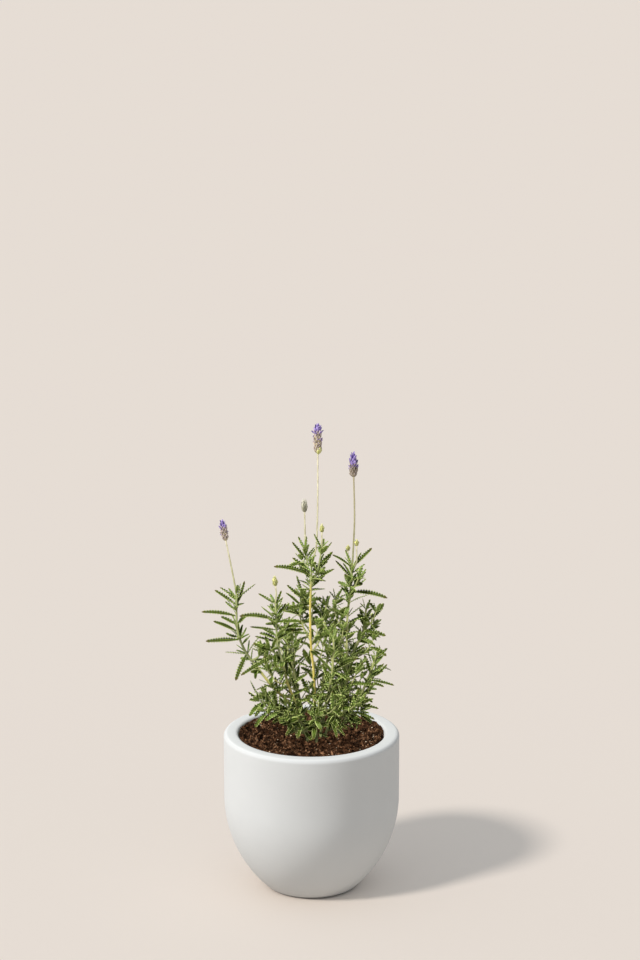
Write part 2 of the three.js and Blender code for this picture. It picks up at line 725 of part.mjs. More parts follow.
/** The body of a spike or bud: whorls of pointed bracts that overlap like tiles, on a slim core. */
function spikeBody(shape, stalkRadius) {
  const { body, radius, whorls, around, seat, tuft } = shape;
  const rings = [lobedRing(around, 0, [radius * 0.45, 0], [radius * 0.45, 0])];
  const pitch = body * (tuft ? 1 : 1 - BUD_TIP) / (whorls - 1 + WHORL_TOP);
  for (let i = 0; i < whorls; i += 1) {
    const low = i * pitch;
    const swell = whorlRadius(shape, i);
    const phase = i % 2;
    const core = swell * 0.66;
    rings.push(
      lobedRing(around, phase, [core, low + pitch * 0.3], [swell * 0.93, low + pitch * 0.45]),
      lobedRing(around, phase, [core * 0.96, low + pitch * 0.75], [swell, low + pitch * 1.05]),
      lobedRing(around, phase, [core * 0.8, low + pitch * WHORL_TOP], [core * 0.8, low + pitch * WHORL_TOP]),
    );
  }
  const clearance = stalkRadius + GAP * Math.SQRT2;
  const up = vector(0, 0, 1);
  const socket = loft([
    squareRing(vector(0, 0, -2), up, clearance),
    squareRing(vector(0, 0, seat + GAP), up, clearance),
  ]);
  return loft(rings, { tip: tuft ? null : vector(0, 0, body) }).subtract(socket);
}

/** The tuft of large bracts on an open spike: an outer and an inner ring round a short core. */
function spikeTuft({ body, tuft, tuftRadius }) {
  const foot = body + GAP;
  const core = tuftRadius * 0.5;
  const profile = [[0, foot], [core * 0.8, foot], [core, foot + tuft * 0.25], [core * 0.4, foot + tuft * 0.6],
    [0, foot + tuft * 0.6]];
  const parts = [solidOf(new THREE.LatheGeometry(profile.map(([r, z]) => new THREE.Vector2(r, z)), 6)
    .rotateX(Math.PI / 2))];
  const width = tuftRadius * TUFT.bractWidth;
  for (let j = 0; j < TUFT.outer; j += 1) {
    const turn = j * 2 * Math.PI / TUFT.outer;
    const reach = tuft * (0.78 + 0.18 * draw(j, 71));
    parts.push(bract(foot + 1, turn, core * 0.75, [TUFT.lean, -TUFT.closing], reach, width));
  }
  for (let j = 0; j < TUFT.inner; j += 1) {
    const turn = (j + 0.4) * 2 * Math.PI / TUFT.inner;
    parts.push(bract(foot + tuft * 0.3, turn, core * 0.3, [TUFT.innerLean, 0], tuft * 0.68, width));
  }
  return wasm.Manifold.union(parts);
}

/** A spike's meshes, set on the end of its stalk. */
function spikeGroup(stalk) {
  const shape = SPIKES[stalk.holds];
  const { foot, along, side, front } = spikePlace(stalk);
  const group = new THREE.Group();
  const isBud = stalk.holds.startsWith('bud');
  group.add(meshOf(spikeBody(shape, stalk.radii[1]), stalk.holds, isBud ? BUD_GREEN : BRACT_GREEN));
  if (shape.tuft) group.add(meshOf(spikeTuft(shape), `${stalk.holds}_tuft`, BRACT_PURPLE));
  group.quaternion.setFromRotationMatrix(new THREE.Matrix4().makeBasis(side, front, along));
  group.position.copy(foot);
  return group;
}

// ---- pot and soil ----

/** Points of the bowl's curve, from its foot (radius foot, height low) up to radius wide at height high. */
function bowlCurve(foot, low, wide, high, steps) {
  return new THREE.CubicBezierCurve(
    new THREE.Vector2(foot, low),
    new THREE.Vector2(mix(foot, wide, POT.footPull[0]), mix(low, high, POT.footPull[1])),
    new THREE.Vector2(wide, mix(high, low, POT.bowlPull)),
    new THREE.Vector2(wide, high),
  ).getPoints(steps);
}

/** The pot's inner surface, drawn in by clearance, from the floor to the given height. */
function innerCurve(clearance, top) {
  const wall = bowlCurve(POT.floorRadius - clearance, POT.floorThickness + clearance,
    POT.mouthRadius - clearance, POT.bowlHeight, 4);
  return [...wall, new THREE.Vector2(POT.mouthRadius - clearance, top)];
}

function potMesh() {
  const { height, radius, footRadius, bowlHeight, rimRounding, mouthRounding, mouthRadius, around } = POT;
  const rim = Array.from({ length: 3 }, (_, i) => {
    const turn = i / 2 * Math.PI / 2;
    return new THREE.Vector2(
      radius - rimRounding * (1 - Math.cos(turn)),
      height - rimRounding * (1 - Math.sin(turn)),
    );
  });
  const profile = [
    new THREE.Vector2(0, 0),
    ...bowlCurve(footRadius, 0, radius, bowlHeight, 7),
    ...rim,
    new THREE.Vector2(mouthRadius + mouthRounding, height),
    ...innerCurve(0, height - mouthRounding).reverse(),
    new THREE.Vector2(0, POT.floorThickness),
  ];
  return meshOf(solidOf(new THREE.LatheGeometry(profile, around).rotateX(Math.PI / 2)), 'pot', GLAZE);
}

/** The soil's uneven surface: its mean height and three crossing swells. */
function unevenSoil(x, y) {
  const swell = Math.sin(0.21 * x + 1.3) * Math.sin(0.26 * y + 0.4) + 0.6 * Math.sin(0.45 * x - 0.31 * y);
  return soilHeight(Math.hypot(x, y)) + SOIL.lump * swell * 0.6;
}

/** The soil, with a plain hole for the foot of each stem. */
function soilMesh() {
  const edge = POT.mouthRadius - GAP;
  const under = [new THREE.Vector2(0, POT.floorThickness + GAP), ...innerCurve(GAP, SOIL.edgeHeight)];
  const top = Array.from({ length: SOIL.rings }, (_, i) => {
    const reach = edge * (1 - (i + 1) / SOIL.rings);
    return new THREE.Vector2(reach, soilHeight(reach));
  });
  const geometry = new THREE.LatheGeometry([...under, ...top], POT.around).rotateX(Math.PI / 2);
  const places = geometry.attributes.position;
  for (let i = 0; i < places.count; i += 1) {
    const [x, y, z] = [places.getX(i), places.getY(i), places.getZ(i)];
    const isSurface = z > SOIL.edgeHeight - 1 && Math.hypot(x, y) < edge - 1;
    if (isSurface) places.setZ(i, unevenSoil(x, y));
  }
  const clearance = MAIN_RADII[0] + GAP * Math.SQRT2;
  const holes = STEMS.map(({ route: [[x, y]] }) => loft([
    squareRing(vector(x, y, ROOT.bottom - GAP), vector(0, 0, 1), clearance),
    squareRing(vector(x, y, ROOT.top + 4), vector(0, 0, 1), clearance),
  ]));
  return meshOf(solidOf(geometry).subtract(wasm.Manifold.union(holes)), 'soil', COMPOST);
}

// ---- the leafy stems ----

function stemMesh({ name, route: [[x, y]] }, leaves) {
  const foot = loft([
    squareRing(vector(x, y, ROOT.bottom), vector(0, 0, 1), MAIN_RADII[0]),
    squareRing(vector(x, y, ROOT.top + 1), vector(0, 0, 1), MAIN_RADII[0]),
  ]);
  const tubes = [...AXES, ...STALKS].filter(({ node }) => node === name);
  const parts = [
    foot,
    ...tubes.map(({ curve, radii }) => stemTube(curve, radii)),
    ...leaves.filter(({ node }) => node === name).map(bladeSolid),
  ];
  return meshOf(wasm.Manifold.union(parts), name, LEAF_GREEN);
}

// ---- the whole object ----

const leaves = allLeaves();
const pottedLavender = new THREE.Group();
pottedLavender.name = 'potted_lavender';
pottedLavender.add(potMesh(), soilMesh());
for (const stem of STEMS) pottedLavender.add(stemMesh(stem, leaves));
for (const stalk of STALKS) pottedLavender.add(spikeGroup(stalk));

export default pottedLavender;
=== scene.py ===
# A young toothed lavender in a white, thick-walled planter: the look of each piece, built round its solid.
# Sizes are in millimetres until a mesh is made.
import math

import bpy
import numpy as np
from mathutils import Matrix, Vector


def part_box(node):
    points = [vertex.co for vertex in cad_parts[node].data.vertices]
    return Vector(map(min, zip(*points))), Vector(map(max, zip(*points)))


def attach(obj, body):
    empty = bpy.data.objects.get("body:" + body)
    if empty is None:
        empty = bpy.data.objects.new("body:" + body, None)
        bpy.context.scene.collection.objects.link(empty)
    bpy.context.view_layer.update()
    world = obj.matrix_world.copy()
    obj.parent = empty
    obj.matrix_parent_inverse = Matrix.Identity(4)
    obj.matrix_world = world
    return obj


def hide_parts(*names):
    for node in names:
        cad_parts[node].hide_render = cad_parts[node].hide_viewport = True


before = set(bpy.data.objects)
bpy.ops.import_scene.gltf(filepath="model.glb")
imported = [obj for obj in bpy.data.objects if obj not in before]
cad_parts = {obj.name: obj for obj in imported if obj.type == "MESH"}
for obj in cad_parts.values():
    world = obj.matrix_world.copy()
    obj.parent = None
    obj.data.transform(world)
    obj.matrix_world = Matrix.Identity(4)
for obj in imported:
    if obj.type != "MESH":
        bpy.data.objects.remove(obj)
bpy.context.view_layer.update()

# ---- the pot ----
# A round planter of slip-cast stoneware with one thick wall, straight above and drawn in to a flat foot.
# It was fired with a dead-matt white glaze. Painted light whitens its rim a little and its inside, which lies
# in shade, much more; a painted contact shadow darkens its foot.

MM = 0.001
QUARTER = np.pi / 2
_, pot_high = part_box("pot")
POT_HEIGHT = pot_high.z / MM
POT_RADIUS = pot_high.x / MM
MOUTH_RADIUS = 70.4
FOOT_RADIUS = 42.7
FOOT_EDGE = 8                     # width of the flat foot's outer ring
BOWL_HEIGHT = 92                  # the side is straight above this
SIDE_RINGS = (20, 40)             # heights of the straight side's rings above the bowl
FLOOR_RADIUS = 30
FLOOR_HEIGHT = 15
RIM_ROUNDING = 4.2
MOUTH_ROUNDING = 3.8
FOOT_ROUNDING = 1.8
FOOT_STEPS, BOWL_STEPS, RIM_STEPS, MOUTH_STEPS, INSIDE_STEPS = 4, 56, 12, 7, 14
POT_AROUND = 192
INSIDE_RINGS = INSIDE_STEPS + 2   # the last rings of the profile, past the mouth's edge
RIM_RINGS = 11                    # those before them, on the rim, which painted light whitens a little
RIM_PAINTED_LIGHT = 0.1                   # how much of the inside's painted whiteness they take: painted light


def bowl_curve(foot, low, wide, high, steps):
    """The bowl's side: a cubic Bezier curve that flares from the foot and ends upright at its widest."""
    t = np.linspace(0, 1, steps)[:, None]
    pulls = np.array([[foot, low], [foot + 0.4 * (wide - foot), low + 0.15 * (high - low)],
                      [wide, high - 0.5 * (high - low)], [wide, high]])
    weights = (1 - t) ** 3, 3 * t * (1 - t) ** 2, 3 * t ** 2 * (1 - t), t ** 3
    return sum(weight * pull for weight, pull in zip(weights, pulls))


def quarter_round(centre, radius, start, end, steps):
    """An arc of the profile about centre, from the angle start to end, where 0 points out and pi / 2 up."""
    turn = np.linspace(start, end, steps)[:, None]
    return np.array(centre) + radius * np.hstack([np.cos(turn), np.sin(turn)])


def lathe(profile, around):
    """Rings of revolution: each (radius, height) of the profile, turned round the upright axis."""
    turn = 2 * np.pi * np.arange(around) / around
    radius, height = profile[:, :1], profile[:, 1:]
    return np.stack([radius * np.cos(turn), radius * np.sin(turn), height + 0 * turn], -1)


def skins(grids):
    """Closed skins over stacked rings, where grids holds (skin, ring, place round the ring, xyz).

    Quads join neighbouring rings, and each end closes on the middle of its ring. The result is every point,
    skin after skin, with its quads and its triangles.
    """
    count, rings, around, _ = grids.shape
    ends = grids[:, [0, -1]].mean(2)
    points = np.concatenate([grids.reshape(count, -1, 3), ends], axis=1)
    j = np.arange(around)
    after = (j + 1) % around
    row = around * np.arange(rings - 1)[:, None]
    quads = np.stack([row + j, row + after, row + after + around, row + j + around], -1).reshape(-1, 4)
    last = (rings - 1) * around
    tail, tip = np.full(around, rings * around), np.full(around, rings * around + 1)
    caps = np.concatenate([np.stack([after, j, tail], -1), np.stack([last + j, last + after, tip], -1)])
    shift = (rings * around + 2) * np.arange(count)[:, None, None]
    return points.reshape(-1, 3), (quads + shift).reshape(-1, 4), (caps + shift).reshape(-1, 3)


def make_piece(name, parts, materials):
    """One mesh object of several parts, each (grids, growth, slot).

    growth holds three values from 0 to 1 at each point of a grid (how far along the part, how far across it,
    and its tone), which the materials read. slot is the part's place in materials.
    """
    points, quads, caps, growths, quad_slots, cap_slots = [], [], [], [], [], []
    start = 0
    for grids, growth, slot in parts:
        part_points, part_quads, part_caps = skins(grids)
        growth = np.broadcast_to(growth, grids.shape)
        ends = growth[:, [0, -1]].mean(2)
        growths.append(np.concatenate([growth.reshape(len(grids), -1, 3), ends], axis=1).reshape(-1, 3))
        points.append(part_points)
        quads.append(part_quads + start)
        caps.append(part_caps + start)
        quad_slots += [slot] * len(part_quads)
        cap_slots += [slot] * len(part_caps)
        start += len(part_points)
    mesh = bpy.data.meshes.new(name)
    faces = np.concatenate(quads).tolist() + np.concatenate(caps).tolist()
    mesh.from_pydata((np.concatenate(points) * MM).tolist(), [], faces)
    mesh.polygons.foreach_set("material_index", quad_slots + cap_slots)
    attribute = mesh.attributes.new("growth", "FLOAT_VECTOR", "POINT")
    attribute.data.foreach_set("vector", np.concatenate(growths).ravel())
    mesh.shade_smooth()
    for material in materials:
        mesh.materials.append(material)
    piece = bpy.data.objects.new(name, mesh)
    bpy.context.scene.collection.objects.link(piece)
    return piece


def linear(colour):
    """The shader's colour for an sRGB hex value."""
    channels = [int(colour[i:i + 2], 16) / 255 for i in (1, 3, 5)]
    return [c / 12.92 if c <= 0.04045 else ((c + 0.055) / 1.055) ** 2.4 for c in channels] + [1.0]


def add_node(tree, kind, inputs, **settings):
    """A node of a material. Each input is a value for a socket, or another node's socket to link to it."""
    made = tree.nodes.new("ShaderNode" + kind)
    for name, value in settings.items():
        setattr(made, name, value)
    for socket, value in inputs.items():
        if isinstance(value, bpy.types.NodeSocket):
            tree.links.new(value, made.inputs[socket])
        else:
            made.inputs[socket].default_value = value
    return made


def start_material(name, constants):
    """A material whose shader has these constants. Returns it, its nodes and a point's place on the piece."""
    material = bpy.data.materials.new(name)
    material.use_nodes = True
    tree = material.node_tree
    for socket, value in constants.items():
        tree.nodes["Principled BSDF"].inputs[socket].default_value = value
    return material, tree, add_node(tree, "TexCoord", {}).outputs["Object"]


def read_growth(tree):
    """The three growth values of a piece as sockets: along, across and tone."""
    growth = add_node(tree, "Attribute", {}, attribute_name="growth").outputs["Vector"]
    return add_node(tree, "SeparateXYZ", {0: growth}).outputs


def finish_material(material, base, layers, bump=None):
    """The material with its colour and bump linked to its shader.

    The colour is base with the layers over it in turn, each (how much of it shows, its colour). The sockets
    6 and 7 of a mix are the colour below and the one laid over it.
    """
    tree = material.node_tree
    shader = tree.nodes["Principled BSDF"]
    colour = linear(base)
    for share, laid in layers:
        colour = add_node(tree, "Mix", {0: share, 6: colour, 7: linear(laid)}, data_type="RGBA").outputs[2]
    tree.links.new(colour, shader.inputs["Base Color"])
    if bump:
        tree.links.new(bump.outputs[0], shader.inputs["Normal"])
    return material


def matt_glaze():
    """Matt white glaze on stoneware, faintly cloudy. Painted light whitens its rim and its shaded inside, and
    a painted contact shadow darkens its foot.
    """
    material, tree, place = start_material(
        "matt_glazed_stoneware", {"Roughness": 0.7, "IOR": 1.5, "Specular IOR Level": 0.3})
    clouds = add_node(tree, "TexNoise", {"Vector": place, "Scale": 1 / (45 * MM), "Detail": 3.0})
    pores = add_node(tree, "TexNoise", {"Vector": place, "Scale": 1 / (1.4 * MM), "Detail": 2.0})
    height = add_node(tree, "SeparateXYZ", {0: place}).outputs["Z"]
    # Painted contact shadow: the glaze darkens over its lowest 3.5 mm, towards the floor.
    painted_contact_shadow = add_node(tree, "MapRange", {"Value": height, "From Max": 3.5 * MM, "To Min": 0.95, "To Max": 0.0})
    # The growth's tone is painted light: a little on the rim, and full whiteness on the inner wall in shade.
    _, _, thick = read_growth(tree)
    waves = add_node(tree, "Bump", {"Height": clouds.outputs["Fac"], "Strength": 0.12, "Distance": 1.5 * MM})
    skin = add_node(tree, "Bump", {"Height": pores.outputs["Fac"], "Strength": 0.06, "Distance": 0.2 * MM,
                                   "Normal": waves.outputs[0]})
    return finish_material(material, "#c3c5c5", (
        (clouds.outputs["Fac"], "#cacccc"), (thick, "#fffdf9"), (painted_contact_shadow.outputs[0], "#4b4845")), skin)


pot_profile = np.concatenate([
    [[FOOT_RADIUS - FOOT_EDGE, 0]],
    quarter_round((FOOT_RADIUS - FOOT_ROUNDING, FOOT_ROUNDING), FOOT_ROUNDING,
                  -QUARTER, -QUARTER / 3, FOOT_STEPS),
    bowl_curve(FOOT_RADIUS, 0, POT_RADIUS, BOWL_HEIGHT, BOWL_STEPS)[1:],
    [[POT_RADIUS, BOWL_HEIGHT + above] for above in SIDE_RINGS],
    quarter_round((POT_RADIUS - RIM_ROUNDING, POT_HEIGHT - RIM_ROUNDING), RIM_ROUNDING,
                  0, QUARTER, RIM_STEPS),
    quarter_round((MOUTH_RADIUS + MOUTH_ROUNDING, POT_HEIGHT - MOUTH_ROUNDING), MOUTH_ROUNDING,
                  QUARTER, 2 * QUARTER, MOUTH_STEPS),
    [[MOUTH_RADIUS, BOWL_HEIGHT + SIDE_RINGS[-1]]],
    bowl_curve(FLOOR_RADIUS, FLOOR_HEIGHT, MOUTH_RADIUS, BOWL_HEIGHT, INSIDE_STEPS)[::-1],
])
pot_grid = lathe(pot_profile, POT_AROUND)
pot_growth = np.zeros_like(pot_grid)
# Painted light in the tone: the rim's rings take a little whiteness, and the inside, which lies in shade,
# takes all.
pot_growth[-INSIDE_RINGS - RIM_RINGS:, :, 2] = RIM_PAINTED_LIGHT
pot_growth[-INSIDE_RINGS:, :, 2] = 1
pot = make_piece("pot_glazed", [(pot_grid[None], pot_growth[None], 0)], [matt_glaze()])
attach(pot, "root")
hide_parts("pot")

# ---- the soil ----
# Loose, dark compost with shreds of bark, tipped in round the plant and pressed down by hand: a little higher
# at the stems than at the wall, with single crumbs, chips and a few pale grains lying on it.

GAP = 0.35                        # between the soil and the pot's wall, and the least from leaf to leaf
SOIL_EDGE = 152.2                 # the soil's height at the wall and in the middle
SOIL_MOUND = 154.6
WALL_HEAP = 1.9                   # how much higher the crumbs lie against the wall
SOIL_RINGS = 84
SOIL_AROUND = 360
SOIL_MIDDLE = 1.5                 # radius of the innermost ring
SOIL_TONE = 0.1
SOIL_SWELLS = ((15, 0.8), (6.3, 0.8), (3.1, 0.9), (1.5, 0.8))     # size of the cells and height of each grade
CRUMBS = 5900
CRUMB_SIZE, CRUMB_SPREAD = -0.5, 0.45           # mean and spread of the logarithm of their sizes
CRUMB_LARGEST = 2
PALE_SHARE = 0.02                 # how many crumbs are pale grains
PALE_SIZES = (0.45, 0.95)
CHIPS = 520
CHIP_SIZES = (0.9, 1.7)
CHIP_LENGTHS, CHIP_WIDTHS, CHIP_THICK = (1.4, 3), (0.6, 1), 0.35         # for their size
CRUMB_SIDES = 5
CRUMB_RINGS = np.array([0.6, 1.55, 2.5])        # their angles from a crumb's pole
CRUMB_DENTS = (0.7, 1.25)         # the least and most radius of its corners, for its size
CRUMB_RISE = 0.15                 # how high its middle lies above the soil, for its size
WALL_MARGIN = 3
rng = np.random.default_rng(17)
lattice = rng.uniform(-1, 1, (61, 61))


def swell(x, y, cell):
    """Smooth noise from -1 to 1: the lattice's values at the corners of square cells, eased between them."""
    u, v = x / cell, y / cell
    i, j = np.floor(u).astype(int), np.floor(v).astype(int)
    ease_u, ease_v = (f * f * (3 - 2 * f) for f in (u - i, v - j))
    size = len(lattice)
    near, far = (lattice[(i + k) % size, j % size] * (1 - ease_v)
                 + lattice[(i + k) % size, (j + 1) % size] * ease_v for k in (0, 1))
    return near * (1 - ease_u) + far * ease_u


def soil_height(reach):
    """The soil's mean height: a low dome over the distance from the pot's axis."""
    return SOIL_MOUND + (SOIL_EDGE - SOIL_MOUND) * (reach / MOUTH_RADIUS) ** 2


def soil_surface(x, y):
    """The crumbly surface: the dome, a heap that steepens towards the wall, and swells of four sizes."""
    reach = np.hypot(x, y)
    heap = WALL_HEAP * (reach / MOUTH_RADIUS) ** 8
    return soil_height(reach) + heap + sum(rise * swell(x, y, cell) for cell, rise in SOIL_SWELLS)


def any_turn(count):
    """Rotation matrices of random unit quaternions."""
    quaternions = rng.normal(size=(4, count))
    w, x, y, z = quaternions / np.linalg.norm(quaternions, axis=0)
    return np.array([[1 - 2 * (y * y + z * z), 2 * (x * y - w * z), 2 * (x * z + w * y)],
                     [2 * (x * y + w * z), 1 - 2 * (x * x + z * z), 2 * (y * z - w * x)],
                     [2 * (x * z - w * y), 2 * (y * z + w * x), 1 - 2 * (x * x + y * y)]]).transpose(2, 0, 1)


def crumb_grids(count, sizes, stretch):
    """Lumps on the soil: dented spheres, stretched, turned at random and sunk in by a little under half."""
    turn = 2 * np.pi * np.arange(CRUMB_SIDES) / CRUMB_SIDES
    ring = CRUMB_RINGS[:, None]
    ball = np.stack([np.sin(ring) * np.cos(turn), np.sin(ring) * np.sin(turn), np.cos(ring) + 0 * turn], -1)
    lumps = ball * rng.uniform(*CRUMB_DENTS, (count, len(CRUMB_RINGS), CRUMB_SIDES, 1))
    lumps = lumps * sizes[:, None, None, None] * stretch[:, None, None]
    lumps = np.einsum("nab,nijb->nija", any_turn(count), lumps)
    reach = (MOUTH_RADIUS - WALL_MARGIN) * np.sqrt(rng.uniform(0, 1, count))
    turn = rng.uniform(0, 2 * np.pi, count)
    x, y = reach * np.cos(turn), reach * np.sin(turn)
    centre = np.stack([x, y, soil_surface(x, y) + CRUMB_RISE * sizes], -1)
    return lumps + centre[:, None, None]


def compost():
    """Moist peat compost: near black under brown grit, with crumbs from dark to red-brown at random and pale
    grains, and dark patches of painted shade that stand for its hollows.
    """
    material, tree, place = start_material(
        "peat_compost", {"Roughness": 0.95, "IOR": 1.45, "Specular IOR Level": 0.06})
    _, _, tone = read_growth(tree)
    grit = add_node(tree, "TexNoise", {"Vector": place, "Scale": 1 / (1.5 * MM), "Detail": 6.0,
                                       "Roughness": 0.75})
    patch = add_node(tree, "MapRange", {"Value": grit.outputs["Fac"], "From Min": 0.42, "From Max": 0.62})
    pale = add_node(tree, "MapRange", {"Value": tone, "From Min": 0.955, "From Max": 0.97})
    # Painted shade: dark patches some 6 mm across stand for the shade in the soil's hollows.
    hollow_shade_noise = add_node(tree, "TexNoise", {"Vector": place, "Scale": 1 / (6 * MM), "Detail": 4.0})
    painted_hollow_shade = add_node(tree, "MapRange", {"Value": hollow_shade_noise.outputs["Fac"], "From Min": 0.44, "From Max": 0.56,
                                         "To Min": 0.8, "To Max": 0.0})
    bump = add_node(tree, "Bump", {"Height": grit.outputs["Fac"], "Strength": 0.8, "Distance": 0.7 * MM})
    return finish_material(material, "#070200", (
        (patch.outputs[0], "#4f2f1b"), (tone, "#a67b5c"), (pale.outputs[0], "#ecd9bf"),
        (painted_hollow_shade.outputs[0], "#0b0300")), bump)


soil_reach = np.linspace(MOUTH_RADIUS - GAP, SOIL_MIDDLE, SOIL_RINGS)
soil_profile = np.concatenate([
    bowl_curve(FLOOR_RADIUS - GAP, FLOOR_HEIGHT + GAP, MOUTH_RADIUS - GAP, BOWL_HEIGHT, 8),
    np.stack([soil_reach, soil_height(soil_reach)], -1),
])
soil_grid = lathe(soil_profile, SOIL_AROUND)
soil_top = soil_grid[-SOIL_RINGS:]
soil_top[..., 2] = soil_surface(soil_top[..., 0], soil_top[..., 1])
soil_growth = np.broadcast_to((0, 0, SOIL_TONE), soil_grid.shape)
peat = compost()
soil = make_piece("soil_surface", [(soil_grid[None], soil_growth[None], 0)], [peat])
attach(soil, "root")
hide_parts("soil")

crumb_sizes = np.minimum(rng.lognormal(CRUMB_SIZE, CRUMB_SPREAD, CRUMBS), CRUMB_LARGEST)
crumb_tones = 0.9 * rng.beta(0.8, 2.6, CRUMBS)
pale_grains = rng.uniform(0, 1, CRUMBS) < PALE_SHARE
crumb_tones[pale_grains] = 1
crumb_sizes[pale_grains] = rng.uniform(*PALE_SIZES, pale_grains.sum())
chip_sizes = rng.uniform(*CHIP_SIZES, CHIPS)
chip_stretch = np.stack([rng.uniform(*CHIP_LENGTHS, CHIPS), rng.uniform(*CHIP_WIDTHS, CHIPS),
                         np.full(CHIPS, CHIP_THICK)], -1)
crumb_growth, chip_growth = (np.stack([0 * t, 0 * t, t], -1)[:, None, None]
                             for t in (crumb_tones, rng.uniform(0.1, 0.9, CHIPS)))
crumbs = make_piece("soil_crumbs", [
    (crumb_grids(CRUMBS, crumb_sizes, rng.uniform(0.6, 1.2, (CRUMBS, 3))), crumb_growth, 0),
    (crumb_grids(CHIPS, chip_sizes, chip_stretch), chip_growth, 0),
], [peat])
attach(crumbs, "root")
